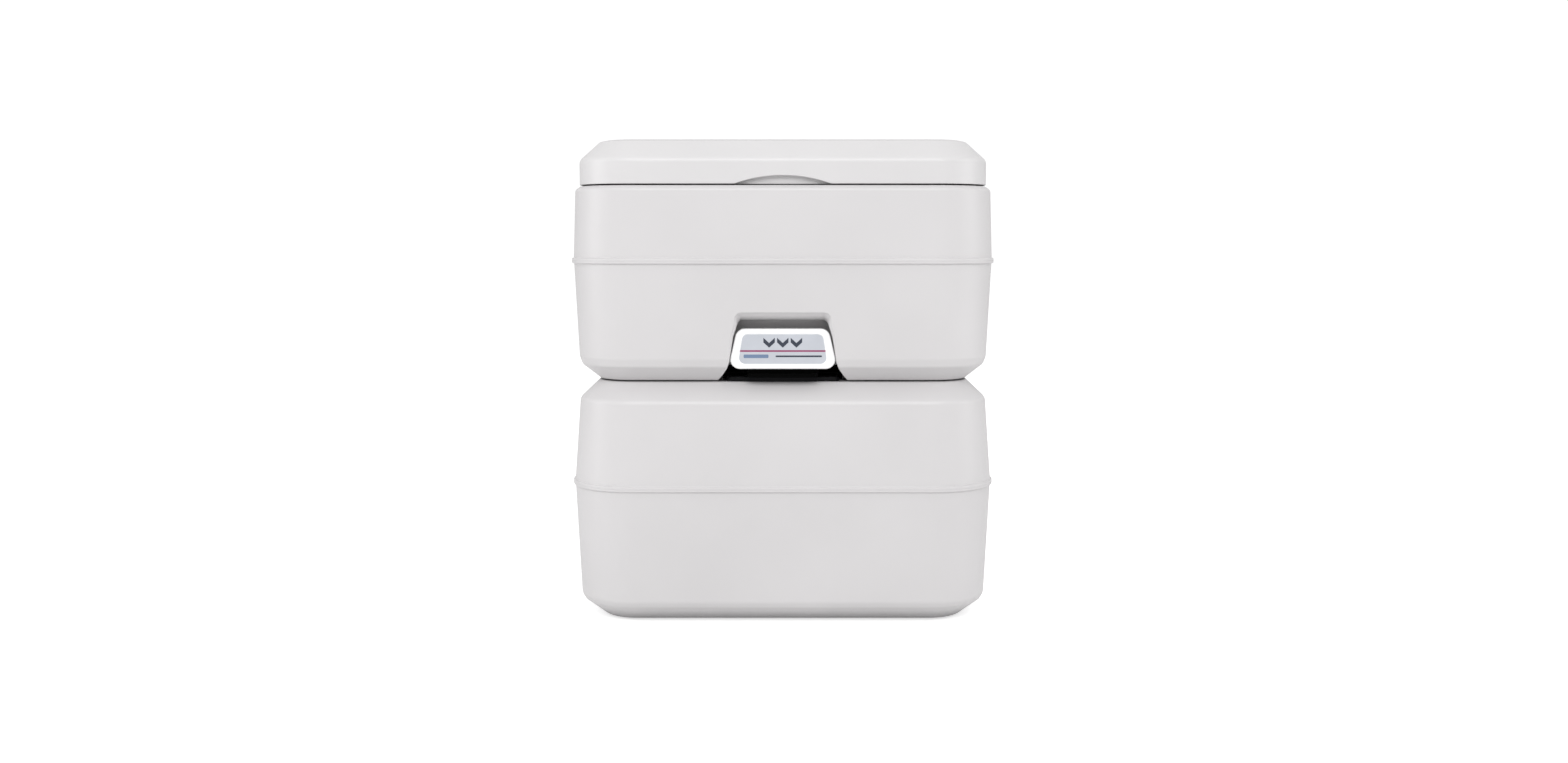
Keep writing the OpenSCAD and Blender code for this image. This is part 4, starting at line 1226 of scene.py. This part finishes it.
def released(obj):
    """Swings a part drawn closed about the latch pin to the released pose it has at rest."""
    swing = Matrix.Rotation(LATCH_OPEN, 4, "X")
    obj.data.transform(Matrix.Translation(LATCH * MM) @ swing @ Matrix.Translation(-LATCH * MM))
    return obj


def latch_lever():
    """The strap lever: a barrel on the pin and a rounded strap with three grip grooves."""
    barrel = bar_x(6, -LATCH_HALF, LATCH_HALF, LATCH.y, LATCH.z, 0.8)
    outline = rounded(LATCH_HALF, STRAP_DROP / 2, 5, 6, 8)

    def inset(amount):
        return [p - Vector((math.copysign(amount, p.x), math.copysign(amount, p.y))) for p in outline]

    face = LATCH.y + STRAP_OUT
    rings = [(inset(0.5), 0), (inset(0), 0.5), (inset(0), STRAP_T - 0.5), (inset(0.5), STRAP_T)]
    strap = stack("strap", rings, (0, face, LATCH.z - STRAP_DROP / 2), X, Z, Y)
    fuse(barrel, strap)
    cut(barrel, bar_x(2.55, -LATCH_HALF - 3, LATCH_HALF + 3, LATCH.y, LATCH.z, 0.01, 32))
    for k in range(3):
        z = LATCH.z - STRAP_DROP + 8 + 5 * k
        cut(barrel, bar_x(0.9, -LATCH_HALF + 4, LATCH_HALF - 4, face + STRAP_T + 0.35, z, 0.3, 20))
    barrel.name = "latch_strap_lever"
    piece(released(barrel), "latch", GREY, "latch_lever")


def latch_hook():
    """The bent steel hook behind the strap: an upright plate and a toe that goes under the catch."""
    half = LATCH_HALF - 3
    top = low("latch_catch").z - 0.5
    back = LATCH.y + STRAP_OUT
    hook = slab("latch_hook_plate", (-half, back - 2, top - 13.5), (half, back, top), 0.9, 0.4)
    toe = slab("toe", (-half, back - 8, top - 3.5), (half, back - 1, top), 0.9, 0.4)
    fuse(hook, toe)
    piece(released(hook), "latch", STEEL, "latch_hook")


def latch_catch():
    """The steel catch that the hook goes under, with rounded edges."""
    catch = slab("latch_catch_block", low("latch_catch"), high("latch_catch"), 2.5, 1.2)
    piece(catch, "waste_tank", STEEL, "latch_catch")


def pivots():
    pin_half = high("latch_pin").x
    piece(pin("latch_pivot", 2.5, -pin_half, pin_half, LATCH.y, LATCH.z), "flush_tank", STEEL, "latch_pin")
    hinge_half = high("hinge_pin").x
    piece(pin("seat_hinge_pin", 3, -hinge_half, hinge_half, HINGE.y, HINGE.z), "flush_tank", STEEL,
          "hinge_pin")


# ---------------------------------------------------------------- stage

CAMERA_AT = Vector((1.04, -1404, 331.4))
CAMERA_PITCH = 5.73
LENS = 32.92
WORLD_LIGHT = 0.70
WORLD_SEEN = 1.05
FLOOR_SEEN = 0.58
FLOOR_FELT = 0.16
LEFT_POWER = 16.0
RIGHT_POWER = 12.0
TOP_POWER = 5.0
FRONT_POWER = 43.0


def floor():
    """A plain pale floor that reads as white, with a faint contact shadow."""
    half = 12000.0
    corners = [(-half, -half, 0), (half, -half, 0), (half, half, 0), (-half, half, 0)]
    obj = new_object("floor", corners, [(0, 1, 2, 3)])
    m = Nodes("pale floor")
    tone = m.spread(m.noise(0.7, 2.0), 0.0, 1.0)
    m.set(
        Base_Color=m.mix(tone, (0.74, 0.74, 0.74, 1), (0.76, 0.76, 0.76, 1)),
        Roughness=1.0,
        Specular_IOR_Level=0.0,
        Emission_Color=(1, 1, 1, 1),
        Emission_Strength=to_camera(m.tree, FLOOR_SEEN, FLOOR_FELT),
    )
    obj.data.materials.append(m.material)


def area(name, place, aim, size, power):
    data = bpy.data.lights.new(name, "AREA")
    data.shape = "RECTANGLE"
    data.size, data.size_y = size
    data.energy = power
    obj = place_object(name, data)
    obj.location = place
    obj.rotation_euler = (Vector(aim) - Vector(place)).to_track_quat("-Z", "Y").to_euler()


def light():
    world = bpy.data.worlds.new("studio")
    bpy.context.scene.world = world
    world.use_nodes = True
    tree = world.node_tree
    back = tree.nodes["Background"]
    back.inputs["Color"].default_value = (1, 1, 1, 1)
    feed(tree, back.inputs["Strength"], to_camera(tree, WORLD_SEEN, WORLD_LIGHT))
    area("left key", (-2.4, -0.7, 0.9), (0, 0, 0.2), (1.2, 1.6), LEFT_POWER)
    area("top soft", (0.2, -0.2, 2.4), (0, 0, 0.3), (2.0, 2.0), TOP_POWER)
    area("right fill", (2.4, -0.7, 0.9), (0, 0, 0.2), (1.2, 1.6), RIGHT_POWER)
    area("front soft", (0.0, -2.5, 2.0), (0, 0, 0.2), (2.4, 1.2), FRONT_POWER)


def camera():
    data = bpy.data.cameras.new("camera")
    data.sensor_width = 36
    data.lens = LENS
    obj = place_object("camera", data)
    obj.location = CAMERA_AT * MM
    obj.rotation_euler = (math.radians(90 - CAMERA_PITCH), 0, 0)
    bpy.context.scene.camera = obj


for make in (
    waste_lower, waste_upper, flush_lower, flush_upper, lid, seat, bumpers, bowl, pull_handle, label,
    valve_base, valve_cover, valve_screws, valve_blade, neck_seals, spout_collar, pour_spout, spout_cap,
    filler_cap, pump_well, pump_bellows, pump_knob, flush_line, vent, carry_handle, latch_lever,
    latch_hook, latch_catch, pivots, floor, light, camera,
):
    make()
bpy.context.scene.view_settings.view_transform = "Standard"
